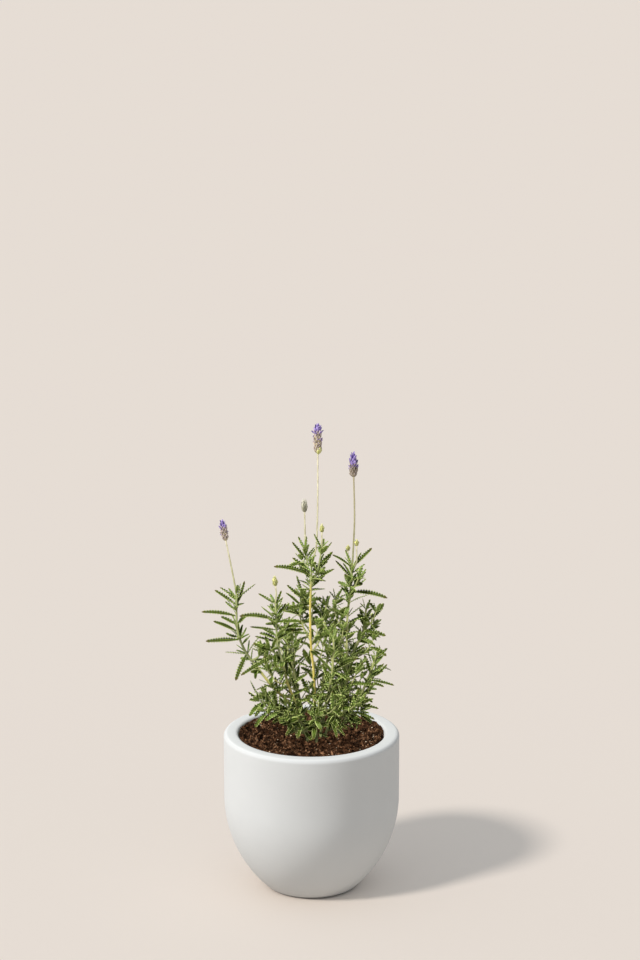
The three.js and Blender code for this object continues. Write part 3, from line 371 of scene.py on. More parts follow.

# ---- how the stems grow ----
# Square green stems, some of them forked or ripened to yellow between root and top, and thin flower stalks.
# Each stem carries opposite pairs of leaves, every pair a quarter turn from the last.

# A route is the points that a stem runs through. Each listed leaf is (place along the stem 0..1,
# azimuth, rise above level, length, droop, width) in degrees and mm, with azimuth 0 to the right and 270 to
# the front. pairs is (number of pairs of grown leaves, from, to) and leaf their length. crown and top say the
# same of further pairs, and shoots of side shoots that don't follow the pairs. Each stalk is named for the
# spike or bud that it holds.
STEMS = {
    "stem_left": {
        "route": ((-8, -8, 158), (-18, -12, 184), (-37, -16, 206), (-51, -18, 225), (-63, -20, 243),
                  (-70, -21, 262), (-71, -22, 282), (-71, -22, 302)),
        "pairs": (7, 0.3, 0.94), "leaf": 21, "crown": (4, 0.1, 0.5), "top": (3, 0.9, 0.99),
        "leaves": ((0.91, 170, 38, 25, 10, 3.6), (0.91, 40, 60, 24, -10, 3.2), (0.95, 150, 48, 13, 0, 2.6),
                   (0.95, 330, 74, 17, 0, 2.6), (0.87, 200, 42, 15, 0, 3), (0.83, 185, 21, 34, 25, 4.2),
                   (0.72, 215, 36, 31, 15, 5), (0.77, 20, 41, 13, 0, 3), (0.68, 150, -6, 15, -25, 3),
                   (0.66, 190, 6, 33, 12, 5), (0.55, 220, -50, 28, 20, 5), (0.66, 350, 62, 14, 0, 2.8),
                   (0.62, 330, 50, 14, 0, 2.8), (0.24, 190, 8, 24, 35, 5)),
        "forks": (
            {"route": ((-58, -19, 233), (-51, -24, 238), (-48, -27, 244)), "pairs": (0, 0.5, 1), "leaf": 20,
             "leaves": ((0.6, 60, 76, 13, 0, 2.8), (0.64, 300, 62, 15, 0, 2.8), (0.58, 350, 45, 14, 10, 3))},
        ),
        "stalks": {"spike_left": ((-71, -22, 301), (-75, -23, 324), (-78, -24, 340), (-81, -24, 356))},
    },
    "stem_left_inner": {
        "route": ((-4, -16, 158), (-13, -18, 186), (-22, -26, 211), (-27, -30, 234), (-32, -32, 253),
                  (-33, -33, 272), (-34, -33, 295)),
        "pairs": (8, 0.12, 0.92), "leaf": 22,
        "leaves": ((0.99, 165, 33, 19, 10, 2.8), (0.99, 140, 36, 12, 0, 2.8), (0.98, 30, 64, 15, 0, 2.8),
                   (0.93, 330, 64, 17, 0, 3.4), (0.89, 15, 55, 17, 0, 3.4), (0.87, 180, 30, 36, 45, 5),
                   (0.8, 160, 3, 27, 5, 2.8), (0.8, 350, 27, 26, 35, 3.4), (0.76, 20, 23, 19, 10, 2.8),
                   (0.69, 170, 17, 22, 10, 2.8), (0.58, 205, -12, 44, 18, 4.6), (0.86, 345, 18, 25, 25, 4)),
        "stalks": {"bud_left": ((-34, -33, 294), (-33, -33, 303), (-34, -33, 313.5))},
    },
    "stem_centre": {
        "route": ((4, -3, 158), (3, -5, 193), (2, -4, 221), (0, -4, 237), (-1, -3, 259), (-1, -2, 287),
                  (0, -1, 308), (0, 0, 322)),
        "pairs": (3, 0.05, 0.22), "shoots": (8, 0.22, 0.86), "crown": (4, 0.78, 0.98), "leaf": 24,
        "leaves": ((0.89, 178, 34, 38, 40, 5), (0.7, 200, 0, 31, 15, 4.2), (0.55, 200, 12, 22, 5, 3),
                   (0.8, 40, 35, 20, 12, 3.4), (0.84, 300, 40, 18, 10, 3.2)),
        "forks": (
            {"route": ((0, -1, 306), (-3, 2, 317), (-4, 5, 324), (-6, 6, 336)),
             "pairs": (2, 0.5, 0.9), "leaf": 17,
             "leaves": ((0.98, 170, 63, 15, 0, 2.8), (0.96, 240, 72, 15, 0, 2.6), (0.98, 80, 63, 14, 0, 2.6),
                        (0.71, 190, 57, 24, 8, 3.6), (0.69, 340, 67, 19, 25, 3))},
            {"route": ((0, -1, 303), (5, -4, 315), (8, -6, 329), (10, -7, 342)),
             "pairs": (2, 0.3, 0.85), "leaf": 18,
             "leaves": ((0.98, 20, 76, 17, 0, 3), (0.98, 170, 62, 16, 0, 2.6), (0.79, 330, 50, 19, 0, 3.2),
                        (0.56, 20, 39, 18, 0, 3.6), (0.38, 345, 60, 23, 25, 4.6),
                        (0.13, 320, 38, 25, 10, 3.6))},
            {"route": ((-1, -3, 249), (-8, 3, 260), (-11, 8, 273), (-8, 12, 288)),
             "pairs": (4, 0.4, 0.95), "leaf": 21,
             "leaves": ((1, 150, 70, 21, 0, 2.8), (0.96, 200, 68, 21, 0, 2.8), (0.94, 215, 50, 22, 10, 4.4))},
            {"route": ((1, -4, 237), (8, 4, 247), (13, 10, 260), (14, 14, 280)),
             "pairs": (5, 0.4, 0.97), "leaf": 22},
        ),
        "stalks": {
            "spike_green": ((-6, 6, 335), (-6, 7, 349), (-6.5, 7, 374.5)),
            "bud_centre": ((10, -7, 341), (10, -7, 349), (10, -7, 359)),
            "spike_centre": ((0, 0, 321), (3, 1, 333), (5, 2, 345), (6, 2, 386), (6, 2, 434.5)),
        },
    },
    "stem_right": {
        "route": ((18, 4, 158), (28, 4, 185), (32, 7, 201), (34, 8, 220), (34, 8, 245), (35, 7, 276),
                  (38, 5, 302), (39, 3, 321)),
        "pairs": (9, 0.1, 0.94), "leaf": 23,
        "leaves": ((1, 160, 67, 17, 0, 3.2), (0.98, 200, 48, 30, 25, 3.6), (0.9, 215, 52, 28, 10, 5),
                   (0.99, 345, 50, 28, 8, 5), (0.94, 330, 38, 18, 0, 3.4), (0.81, 352, 10, 37, 35, 5)),
        "forks": (
            {"route": ((38, 5, 296), (42, 0, 302), (45, -4, 311)), "pairs": (0, 0.5, 1), "leaf": 20,
             "leaves": ((0.42, 60, 53, 17, 0, 3), (0.5, 340, 57, 16, 0, 3), (0.42, 310, 37, 15, 0, 3))},
        ),
        "stalks": {
            "bud_right": ((39, 3, 315), (43, -2, 326), (43, -4, 334), (43, -5, 345)),
            "bud_right_low": ((39, 4, 312), (36, 8, 321), (35, 9, 328), (35, 9, 336.5)),
            "spike_right": ((39, 3, 320), (40, 2, 340), (41, 1, 370), (40, 0, 412)),
        },
    },
    "stem_right_back": {
        "route": ((24, 12, 158), (33, 16, 192), (38, 22, 216), (43, 24, 235), (49, 25, 244), (51, 25, 258),
                  (53, 25, 272)),
        "pairs": (7, 0.12, 0.92), "leaf": 21,
        "leaves": ((0.84, 150, 68, 14, 0, 3), (0.85, 30, 55, 14, 0, 3), (0.82, 350, 45, 20, 0, 3.2),
                   (0.73, 345, 8, 23, 30, 5), (0.73, 15, 5, 18, 0, 2.8), (0.62, 320, 14, 19, 50, 3.2),
                   (0.43, 330, 10, 18, 0, 2.8)),
    },
    "stem_far_right": {
        "route": ((27, 0, 158), (39, 3, 177), (49, 7, 193), (53, 9, 203), (57, 10, 212), (62, 11, 228)),
        "pairs": (5, 0.15, 0.93), "leaf": 20,
        "leaves": ((0.84, 70, 31, 20, 0, 3.2), (0.87, 350, 51, 19, 0, 3.4), (0.78, 325, 36, 19, 0, 3),
                   (0.72, 10, 13, 22, -40, 3), (0.64, 0, -2, 27, 20, 3.2), (0.51, 320, 37, 25, 55, 3.6)),
    },
    "shoot_low_left": {
        "route": ((-12, -20, 158), (-22, -28, 185), (-36, -33, 196), (-44, -36, 205)),
        "pairs": (5, 0.12, 0.93), "leaf": 20,
        "leaves": ((0.8, 200, -34, 22, 25, 5), (0.68, 240, -8, 23, 10, 4.2), (0.56, 210, -22, 13, 10, 3)),
    },
    "shoot_low_front_left": {
        "route": ((-4, -26, 158), (-11, -34, 177), (-19, -40, 187), (-25, -43, 198)),
        "pairs": (5, 0.12, 0.93), "leaf": 19,
        "leaves": ((0.7, 205, -12, 21, 20, 4.2), (0.3, 240, 20, 30, 60, 3.2)),
    },
    "shoot_low_front": {
        "route": ((5, -26, 158), (4, -34, 177), (6, -38, 188), (7, -40, 199)),
        "pairs": (5, 0.12, 0.93), "leaf": 19,
        "leaves": ((0.24, 265, 8, 27, 40, 4.4), (0.3, 225, 12, 27, 50, 3.2)),
    },
    "shoot_low_front_right": {
        "route": ((13, -20, 158), (19, -26, 178), (25, -30, 191), (28, -32, 204)),
        "pairs": (5, 0.12, 0.93), "leaf": 20,
        "leaves": ((0.3, 320, 0, 22, 30, 3.2), (0.28, 300, 8, 32, 45, 3.4), (0.2, 280, 20, 34, 45, 3)),
    },
    "shoot_low_right": {
        "route": ((26, -9, 158), (34, -8, 173), (42, -10, 184), (48, -11, 194)),
        "pairs": (4, 0.14, 0.93), "leaf": 18,
        "leaves": ((0.71, 10, 24, 18, 10, 3), (0.67, 355, 8, 24, 35, 3.4), (0.5, 340, 2, 25, 30, 3.2),
                   (0.39, 310, 2, 20, 15, 4.6)),
    },
    "shoot_middle_left": {
        "route": ((-4, 0, 158), (-11, -6, 189), (-16, -12, 216), (-19, -14, 237), (-18, -14, 258)),
        "pairs": (7, 0.07, 0.92), "leaf": 23,
    },
    "shoot_middle_front": {
        "route": ((9, -12, 158), (15, -20, 194), (19, -24, 219), (21, -25, 241), (21, -25, 257)),
        "pairs": (7, 0.08, 0.92), "leaf": 23,
    },
    "shoot_back": {
        "route": ((8, 10, 158), (11, 22, 190), (15, 28, 217), (18, 30, 239), (19, 31, 257)),
        "pairs": (7, 0.07, 0.92), "leaf": 24,
    },
    "shoot_back_left": {
        "route": ((-6, 9, 158), (-15, 22, 190), (-21, 32, 210), (-23, 35, 225), (-23, 36, 239)),
        "pairs": (6, 0.08, 0.92), "leaf": 24,
    },
    "shoot_back_right": {
        "route": ((15, 18, 158), (26, 26, 179), (33, 36, 192), (38, 40, 207), (40, 42, 222)),
        "pairs": (6, 0.08, 0.92), "leaf": 23,
    },
}
MAIN_RADII = (1.65, 1.1)          # half a stem's diagonal, at its root and at its tip
FORK_RADII = (1.15, 0.9)
STALK_RADII = (0.85, 0.7)
BUD_STALK_RADII = (0.75, 0.65)
THIN_STALKS = ("bud_right", "bud_right_low")
TIP_LEAVES = 3                    # young leaves round the tip of a leafy stem
TIP_FROM = 0.93
TIP_DRAWS = 8                     # sets the draws of its leaves apart from those of the stem's pairs
FACING = 50                       # how far leaves listed one by one turn their upper side to the front
UPRIGHT = np.array([0.0, 0.0, 1.0])
DEGREE = math.pi / 180


def draw(i, j):
    """A repeatable draw from 0 to 1 for two whole numbers: the fraction of a steep sine of them."""
    wave = math.sin(i * 127.1 + j * 311.7) * 43758.5453
    return wave - math.floor(wave)


def along_route(route, u):
    """Points at u, from 0 to 1, on the even Catmull-Rom curve through a route, its ends mirrored outwards."""
    route = np.array(route, float)
    knots = np.concatenate([[2 * route[0] - route[1]], route, [2 * route[-1] - route[-2]]])
    place = np.clip(u, 0, 1) * (len(route) - 1)
    i = np.minimum(np.floor(place).astype(int), len(route) - 2)
    t = (place - i)[..., None]
    a, b, c, d = (knots[i + k] for k in range(4))
    return b + 0.5 * t * (c - a + t * (2 * a - 5 * b + 4 * c - d + t * (3 * b - a - 3 * c + d)))


def heading(route, u):
    """The direction of a route's curve at u, from two points a little apart."""
    u = np.asarray(u, float)
    way = along_route(route, np.minimum(u + 1e-4, 1)) - along_route(route, np.maximum(u - 1e-4, 0))
    return way / np.linalg.norm(way, axis=-1, keepdims=True)


def upright_frame(way):
    """The level side and the front of what runs along way: side, front and way are square to each other."""
    side = np.stack([way[..., 2], 0 * way[..., 2], -way[..., 0]], -1)
    side /= np.linalg.norm(side, axis=-1, keepdims=True)
    return side, np.cross(way, side)


def route_length(route):
    """The length of a route's curve, measured in 200 steps."""
    return np.linalg.norm(np.diff(along_route(route, np.linspace(0, 1, 201)), axis=0), axis=1).sum()


axes = []                         # every leafy stem and fork
stalks = []                       # every flower stalk
for stem_name, stem in STEMS.items():
    axes.append({"leaves": (), **stem, "node": stem_name, "radii": MAIN_RADII})
    axes += [{"leaves": (), **fork, "node": stem_name, "radii": FORK_RADII} for fork in stem.get("forks", ())]
    stalks += [{"node": stem_name, "route": route, "holds": head,
                "radii": BUD_STALK_RADII if head in THIN_STALKS else STALK_RADII}
               for head, route in stem.get("stalks", {}).items()]


def placed_leaf(axis, u, azimuth, rise, length, droop, width):
    """A leaf listed with its stem, its upper side turned to the front."""
    turn = azimuth * DEGREE
    return {"node": axis["node"], "root": along_route(axis["route"], np.array(u)), "axis": UPRIGHT,
            "outward": np.array([math.cos(turn), math.sin(turn), 0]), "tilt": (90 - rise) * DEGREE,
            "bend": droop * DEGREE, "roll": FACING * math.cos(turn) * DEGREE,
            "length": length, "width": width}


def grown_leaf(axis, u, turn, tilt, bend, roll, length, width):
    """A leaf at u on a stem, turned about it, tilted from it and rolled, in degrees."""
    way = heading(axis["route"], u)
    side, front = upright_frame(way)
    outward = side * math.cos(turn * DEGREE) + front * math.sin(turn * DEGREE)
    return {"node": axis["node"], "root": along_route(axis["route"], np.array(u)), "axis": way,
            "outward": outward, "tilt": tilt * DEGREE, "bend": bend * DEGREE, "roll": roll * DEGREE,
            "length": length, "width": width}


def paired_leaves(axis, index):
    """Opposite pairs, each turned a quarter from the last, longest in mid-stem and more upright higher up."""
    count, low, high = axis["pairs"]
    leaves = []
    for k in range(count):
        x = k / (count - 1) if count > 1 else 0.5
        u = low + (high - low) * (1 - (1 - x) ** 1.2)
        for twin in (0, 1):
            chance = [draw(10 * index + twin, 5 * k + j) for j in range(5)]
            growth = (0.8 + 0.3 * math.sin(math.pi * x)) * (1 - 0.35 * x ** 3)
            length = axis["leaf"] * growth * (0.82 + 0.32 * chance[3])
            leaves.append(grown_leaf(
                axis, u, 90 * k + 180 * twin + 37 * index + 36 * (chance[0] - 0.5),
                70 - 38 * x + 22 * (chance[1] - 0.5), 8 + 34 * chance[2], 100 * (chance[4] - 0.5),
                length, 2 + 0.1 * length))
    return leaves


def tip_leaves(axis, index):
    """The upright young leaves round the tip of a stem, where fewer than two listed leaves stand there."""
    if sum(leaf[0] > TIP_FROM for leaf in axis["leaves"]) > 1:
        return []
    leaves = []
    for k in range(TIP_LEAVES):
        chance = [draw(10 * index + TIP_DRAWS, k + 10 * j) for j in range(3)]
        leaf = grown_leaf(axis, 0.99, 360 / TIP_LEAVES * k + 45 + 30 * chance[0], 14 + 14 * chance[1], 8, 0,
                          axis["leaf"] * (0.42 + 0.2 * chance[2]), 2.8)
        leaf["root"] = leaf["root"] + leaf["outward"] * axis["radii"][1] * 0.45
        leaves.append(leaf)
    return leaves


# ---- keeping the leaves clear of each other ----
# Leaves of neighbouring stems grow past each other, not through: one that would touch turns aside, stays
# shorter or is left out. Here round bars (start, end, radius, node, free) stand for stems, spikes and blades.
# A bar is free past a leaf's root, and then has to clear the free bars of its own stem too.

# Each spike or bud is the length and radius of its body, its whorls, the scales in each, and how far it
# reaches down its stalk, then its tuft's length, radius and flare in degrees, and how shaded its bracts are.
HEAD_KEYS = ("body", "radius", "whorls", "around", "seat", "tuft", "tuft_radius", "flare", "shade")
SPIKES = {name: dict(zip(HEAD_KEYS, values)) for name, values in {
    "spike_centre": (19.5, 4.3, 5, 7, 3, 10, 4.9, 56, 0.0),
    "spike_right": (11.5, 4.5, 4, 7, 3, 13.5, 4.5, 22, 0.7),
    "spike_left": (12, 3.6, 4, 7, 3, 9, 3.3, 46, 0.1),
    "spike_green": (13.2, 2.9, 5, 5, 1.6, 0),
    "bud_left": (9.6, 2.5, 4, 5, 2.2, 0),
    "bud_centre": (8, 2.3, 3, 5, 2.2, 0),
    "bud_right": (6.6, 2, 3, 4, 2.2, 0),
    "bud_right_low": (5.6, 2, 3, 4, 2.2, 0),
}.items()}
# The turns in degrees and the shares of its length that a leaf in the way tries in turn.
BENDS_CLEAR = ((0, 1), (18, 1), (-18, 1), (36, 0.92), (-36, 0.92), (0, 0.75), (24, 0.75), (-24, 0.75),
               (0, 0.55))
# The centre stem is bare and is seen from the front: other stems' leaves keep clear of bars in front of it.
BARE_STEM = {"name": "stem_centre", "from": 0.2, "to": 0.85, "distances": (8, 16, 24, 32), "radius": 1.2}
BAR_LENGTH = 9                    # the most that one bar of a stem covers
SPIKE_ROOM = 1                    # how much wider a spike's bar is than its body
LONG_BLADE = 14                   # longer blades have twice as many bars
BLADE_ROWS = 0.27                 # how far the two rows of bars lie from the midrib, for the blade's width
ROW_RADIUS, ROW_ROOM = 0.23, 0.2  # a bar's radius for the blade's width, and what is added to it
RIM_MARGIN = 4
SOIL_LUMP = 1.4                   # how high the soil's crumbs may rise
BLADE_KEYS = ("root", "axis", "outward", "tilt", "bend", "roll", "length", "width")


def carry(blades, s, across, lift):
    """Points of blades: offsets across and above the midrib, carried along it at s, from 0 to 1.

    A midrib leaves its root at the angle tilt from the axis and bends steadily by bend over its length in the
    plane of axis and outward. roll turns the section about the midrib. s is (blade, ring), and across and
    lift are (blade, ring, place round the ring).
    """
    root, axis, outward = (blades[key][:, None] for key in ("root", "axis", "outward"))
    tilt, bend, roll, length = (blades[key][:, None, None] for key in ("tilt", "bend", "roll", "length"))
    bend = np.where(abs(bend) < 1e-3, 1e-3, bend)
    angle = tilt + bend * s[..., None]
    along, aside = np.sin(angle) - np.sin(tilt), np.cos(tilt) - np.cos(angle)
    midrib = root + length / bend * (axis * along + outward * aside)
    flat_up = axis * np.sin(angle) - outward * np.cos(angle)
    flat_side = np.cross(axis, outward)
    up = flat_up * np.cos(roll) - flat_side * np.sin(roll)
    side = flat_side * np.cos(roll) + flat_up * np.sin(roll)
    return midrib[:, :, None] + side[:, :, None] * across[..., None] + up[:, :, None] * lift[..., None]


def blade_set(leaves):
    """The values of many blades as arrays, one for each key."""
    return {key: np.array([leaf[key] for leaf in leaves], float) for key in BLADE_KEYS}


def spike_place(stalk):
    """The foot of a spike on its stalk and its own frame: side, front and way."""
    way = heading(stalk["route"], 1.0)
    foot = along_route(stalk["route"], np.array(1.0)) - way * SPIKES[stalk["holds"]]["seat"]
    return foot, *upright_frame(way), way


def curve_bars(axis):
    """The bars that stand for a stem or stalk."""
    count = math.ceil(route_length(axis["route"]) / BAR_LENGTH)
    points = along_route(axis["route"], np.linspace(0, 1, count + 1))
    return [(a, b, axis["radii"][0], axis["node"], False) for a, b in zip(points, points[1:])]


def spike_bars(stalk):
    """The bar that stands for a spike or bud."""
    foot, _, _, way = spike_place(stalk)
    shape = SPIKES[stalk["holds"]]
    tip = foot + way * (shape["body"] + shape["tuft"])
    return [(foot, tip, shape["radius"] + SPIKE_ROOM, stalk["holds"], False)]


def blade_bars(leaf):
    """The bars that stand for a blade: two rows, left and right of its midrib, closer together at its tip."""
    count = 4 if leaf["length"] > LONG_BLADE else 2
    s = np.linspace(0, 1, count + 1)[None]
    offset = BLADE_ROWS * leaf["width"] * np.where(s == 1, 0.3, 1)
    rows = carry(blade_set([leaf]), s, np.stack([-offset, offset], -1), np.zeros((1, count + 1, 2)))[0]
    radius = ROW_RADIUS * leaf["width"] + ROW_ROOM
    return [(rows[i, hand], rows[i + 1, hand], radius, leaf["node"], i > 0)
            for hand in (0, 1) for i in range(count)]


def floor_height(point):
    """The height that a leaf stays above: the soil, or the rim past the pot's mouth."""
    reach = math.hypot(point[0], point[1])
    return POT_HEIGHT if reach > MOUTH_RADIUS - RIM_MARGIN else soil_height(reach) + SOIL_LUMP


def bar_distances(a, b, c, d):
    """The shortest distance from each segment a-b to each segment c-d.

    s and t are the places on the two where their lines come nearest, each held to its segment, and s is found
    again where t had to be held.
    """
    first, second, between = (b - a)[:, None], (d - c)[None], a[:, None] - c[None]
    first_square, second_square = (first ** 2).sum(-1), (second ** 2).sum(-1)
    cross, along_first, along_second = ((p * q).sum(-1) for p, q in (
        (first, second), (first, between), (second, between)))
    spread = first_square * second_square - cross ** 2
    slope = (cross * along_second - along_first * second_square) / np.maximum(spread, 1e-9)
    s = np.where(spread > 1e-9, np.clip(slope, 0, 1), 0)
    t = (cross * s + along_second) / second_square
    s = np.where((t < 0) | (t > 1), np.clip((cross * np.clip(t, 0, 1) - along_first) / first_square, 0, 1), s)
    t = np.clip(t, 0, 1)
    return np.linalg.norm(between + first * s[..., None] - second * t[..., None], axis=-1)


class Obstacles:
    """Every bar that later leaves keep clear of, held as arrays."""

    def __init__(self):
        self.start = self.end = np.zeros((0, 3))
        self.radius = np.zeros(0)
        self.node = np.zeros(0, "U32")
        self.free = np.zeros(0, bool)

    def add(self, bars):
        """Takes in more bars."""
        start, end, radius, node, free = zip(*bars)
        self.start = np.concatenate([self.start, start])
        self.end = np.concatenate([self.end, end])
        self.radius = np.append(self.radius, radius)
        self.node = np.append(self.node, node)
        self.free = np.append(self.free, free)

    def clear_of(self, bars):
        """Whether bars clear the soil, other stems' bars and, past their root, those of their own stem."""
        if any(end[2] - radius < floor_height(end) + GAP for _, end, radius, _, _ in bars):
            return False
        start, end, radius, node, free = (np.array(column) for column in zip(*bars))
        apart = bar_distances(start, end, self.start, self.end) - radius[:, None] - self.radius
        counts = (node[:, None] != self.node) | (free[:, None] & self.free)
        return not (counts & (apart < GAP)).any()


def turned(vector, axis, angle):
    """A vector turned about an axis that it is square to."""
    return vector * math.cos(angle) + np.cross(axis, vector) * math.sin(angle)


def clear_leaf(leaf, obstacles):
    """The leaf as it is, bent clear or shortened, or None where it finds no room."""
    for degrees, share in BENDS_CLEAR:
        trial = {**leaf, "outward": turned(leaf["outward"], leaf["axis"], degrees * DEGREE),
                 "length": leaf["length"] * share}
        bars = blade_bars(trial)
        if obstacles.clear_of(bars):
            obstacles.add(bars)
            return trial
    return None


def bare_bars(way=(0, -1, 0)):
    """The bars off the bare stem: copies of its axis, shifted along way."""
    axis = next(axis for axis in axes if axis["node"] == BARE_STEM["name"])
    count = math.ceil(route_length(axis["route"]) / BAR_LENGTH)
    points = along_route(axis["route"], np.linspace(BARE_STEM["from"], BARE_STEM["to"], count + 1))
    shifts = [distance * np.array(way) for distance in BARE_STEM["distances"]]
    return [(a + shift, b + shift, BARE_STEM["radius"], axis["node"], False)
            for shift in shifts for a, b in zip(points, points[1:])]


def stems_alone():
    """The obstacles before any leaf has grown."""
    made = Obstacles()
    for axis in axes + stalks:
        made.add(curve_bars(axis))
    for stalk in stalks:
        made.add(spike_bars(stalk))
    made.add(bare_bars())
    return made


obstacles = stems_alone()
wanted = [placed_leaf(axis, *numbers) for axis in axes for numbers in axis["leaves"]]
wanted += [leaf for index, axis in enumerate(axes) for leaf in paired_leaves(axis, index)]
wanted += [leaf for index, axis in enumerate(axes) for leaf in tip_leaves(axis, index)]
main_leaves = [leaf for leaf in (clear_leaf(leaf, obstacles) for leaf in wanted) if leaf]

# ---- the leafy stems ----
# Leaves are narrow and leathery, grey-green and downy, with rounded teeth like a comb's along rolled edges
# and a furrow over the midrib. Young leaves sit in their axils, and side shoots make most stems bushy.

STEM_RING = 2.4                   # mm between a stem's rings
STEM_SIDES = 12
STEM_SQUARE = 3.2                 # power of the rounded square that is its section
STEM_GIRTH = 0.79                 # the section's size, for the stem's radii
STALK_GIRTH = 0.97
KNOT_SWELL, KNOT_PITCH = 0.16, 9  # how much thicker a stem is at its knots, and mm from one to the next
ROOT_BOTTOM = 140
RIPE_FROM, RIPE_TO = 178, 312     # the heights between which a ripe stem is yellow
RIPENS_OVER = 25
RIPENESS = {"stem_left": (0.75, 230), "stem_left_inner": (0.7, 235)}    # how yellow they get, and up to where
GREEN = (0.1, RIPE_TO)            # the same for all other stems
OLIVE_STALKS = ("spike_right",)
STEM_SLOT, LEAF_SLOT, STRAW_SLOT, OLIVE_SLOT = range(4)
TOOTH_PITCH = 2.8
TOOTH_PLACES = np.array([0, 0.34, 0.74])              # rings within a tooth, the first in the notch before it
TOOTH_EDGES = np.array([0, 1, 0.9])                   # how far out its edge is at each
NOTCH = 0.6                       # depth of the notches, as a share of the half width
LEAF_PLACES = np.array([1, 0.52, 0, -0.52, -1, -0.6, 0, 0.6])         # round a leaf's section
LEAF_UNDER = np.array([0, 0, 0, 0, 0, 1, 1, 1])
LEAF_THICK = 0.38
LEAF_ARCH = 0.26                  # how far the edges roll down, for the half width
FURROW = 0.4
KEEL = 0.4
PUCKER = 0.45                     # how far the blade bulges between its side veins, for its half width
SHOOT_REACH = 36
SHOOTS_TO = 330                   # side shoots get shorter towards this height
SHOOTS_OVER = 140
SHOOT_RADII = (0.85, 0.5)
SHOOT_PAIRS = (3, 0.4, 0.92)
SHOOT_BEND = ((0, 0), (0.2, 0.32), (0.55, 0.55), (0.95, 0.66))        # (along the stem, out from it)
OPEN_STEMS = ("stem_left", "stem_far_right")          # without side shoots or leaves between the pairs
SHORT_STEMS = "shoot_low"                             # names that start so have shorter side shoots
SHORT_REACH = 0.6
PLANT_MIDDLE = np.array([8.0, 0.0, 0.0])
MIDDLE_REACH = 22
BETWEEN_LEAVES = 0.85             # length of the leaves between the main pairs, as a share of theirs
BUSHY_BELOW = 195
FILL_WIDTH = 1.25                 # how much broader than main leaves those between them are
TOP_LEAF = 20                     # length of the leaves near the left stem's top
OLD_LENGTH, OLD_OVER = 22, 8      # longer leaves are old and dark
YOUNG_FROM, YOUNG_OVER = 175, 150                     # short leaves get paler from here on, over so much
TO_SUN = (-0.64, -0.48, 0.6)      # leaves that fill the plant keep clear of this side of the bare stem
# Each kind of leaf and shoot draws by numbers of its own, so that no two follow the same draws.
BETWEEN_DRAWS, SHOOT_DRAWS, AXIL_DRAWS, TONE_DRAWS = 905, 300, 5000, 31
TOP_INDEX, CROWN_INDEX, SHOOT_INDEX = 80, 90, 100


def stem_grid(route, radii, ripeness=1.0, ripe_to=RIPE_TO, girth=STEM_GIRTH):
    """A stem's skin: a rounded square that shrinks along its curve and is a little thicker at its knots.

    ripeness is how yellow the stem grows between the heights RIPE_FROM and ripe_to.
    """
    rings = max(6, int(route_length(route) / STEM_RING))
    u = np.linspace(0, 1, rings)
    way = heading(route, u)
    side, front = (direction[:, None] for direction in upright_frame(way))
    turn = 2 * np.pi * np.arange(STEM_SIDES)[:, None] / STEM_SIDES
    square = (abs(np.cos(turn)) ** STEM_SQUARE + abs(np.sin(turn)) ** STEM_SQUARE) ** (-1 / STEM_SQUARE)
    knots = 1 + KNOT_SWELL * np.cos(np.pi * u * route_length(route) / KNOT_PITCH) ** 8
    radius = (radii[0] + (radii[1] - radii[0]) * u) * girth * knots
    section = radius[:, None, None] * square
    grid = along_route(route, u)[:, None] + section * (side * np.cos(turn) + front * np.sin(turn))
    height = grid[..., 2]
    yellow = (ripeness * np.clip((height - RIPE_FROM) / RIPENS_OVER, 0, 1)
              * np.clip((ripe_to - height) / RIPENS_OVER, 0, 1))
    growth = np.stack([np.broadcast_to(u[:, None], yellow.shape), np.zeros_like(yellow), yellow], -1)
    return grid[None], growth[None]


def blade_outline(s):
    """A leaf's width at s, as a share: it opens from a narrow foot, is widest midway and ends blunt."""
    foot = 0.3 + 0.7 * np.sin(QUARTER * np.clip(s / 0.46, 0, 1)) ** 1.3
    taper = 1 - 0.5 * np.clip((s - 0.5) / 0.5, 0, 1) ** 1.6
    return 1.15 * foot * taper * np.sqrt(np.clip((1.005 - s) / 0.09, 0, 1))


def blade_grids(blades, s, across, lift, edges, tones):
    """Points of blades and their growth: the place along the midrib, the place across it, and the tone."""
    rows = np.broadcast_to(s, lift.shape[:2])
    growth = np.stack(np.broadcast_arrays(rows[..., None], edges, tones), -1)
    return carry(blades, rows, across, lift), growth


def leaf_grids(leaves, tones):
    """Toothed leaves with one number of teeth.

    The edge swings between notch and tooth, and the blade bulges up behind each tooth and sinks behind each
    notch. The section arches down to its rolled edges and dips over the midrib, with a keel beneath.
    """
    blades = blade_set(leaves)
    teeth = tooth_count(leaves[0])
    place = (np.arange(teeth)[:, None] + TOOTH_PLACES).ravel() / teeth
    s = np.concatenate([[0.0], 0.04 + 0.9 * place, [0.955, 0.99]])
    tooth = np.concatenate([[0.6], np.tile(TOOTH_EDGES, teeth), [0.5, 1]])[:, None]
    half = (blades["width"][:, None] / 2 * blade_outline(s))[..., None]
    t = LEAF_PLACES
    edge = np.where(abs(t) == 1, 1 - NOTCH * (1 - tooth), 1 - 0.75 * NOTCH * (1 - tooth))
    arch = -LEAF_ARCH * abs(t) ** 2 * half
    pucker = PUCKER * half * (tooth - 0.6) * (abs(t) > 0) * (1 - 0.5 * LEAF_UNDER)
    furrow = -FURROW * (t == 0) * (1 - LEAF_UNDER)
    under = -LEAF_UNDER * (LEAF_THICK + KEEL * (t == 0) * (1 - 0.5 * s[:, None]))
    lift = arch + pucker + np.minimum(half, 1) * (furrow + under)
    # Painted shade and light: the tone darkens at each notch and pales on each tooth, more towards the edge.
    tones = np.array(tones)[:, None, None] + 0.25 * (tooth - 0.6) * abs(t)
    # The pale band along the edge is partly the rolled margin's own colour and partly painted light,
    # strongest on the teeth.
    edges = abs(t) * (0.45 + 0.55 * tooth) * (1 - LEAF_UNDER) + 1.5 * LEAF_UNDER
    return blade_grids(blades, s, half * t * edge, lift, edges, tones)


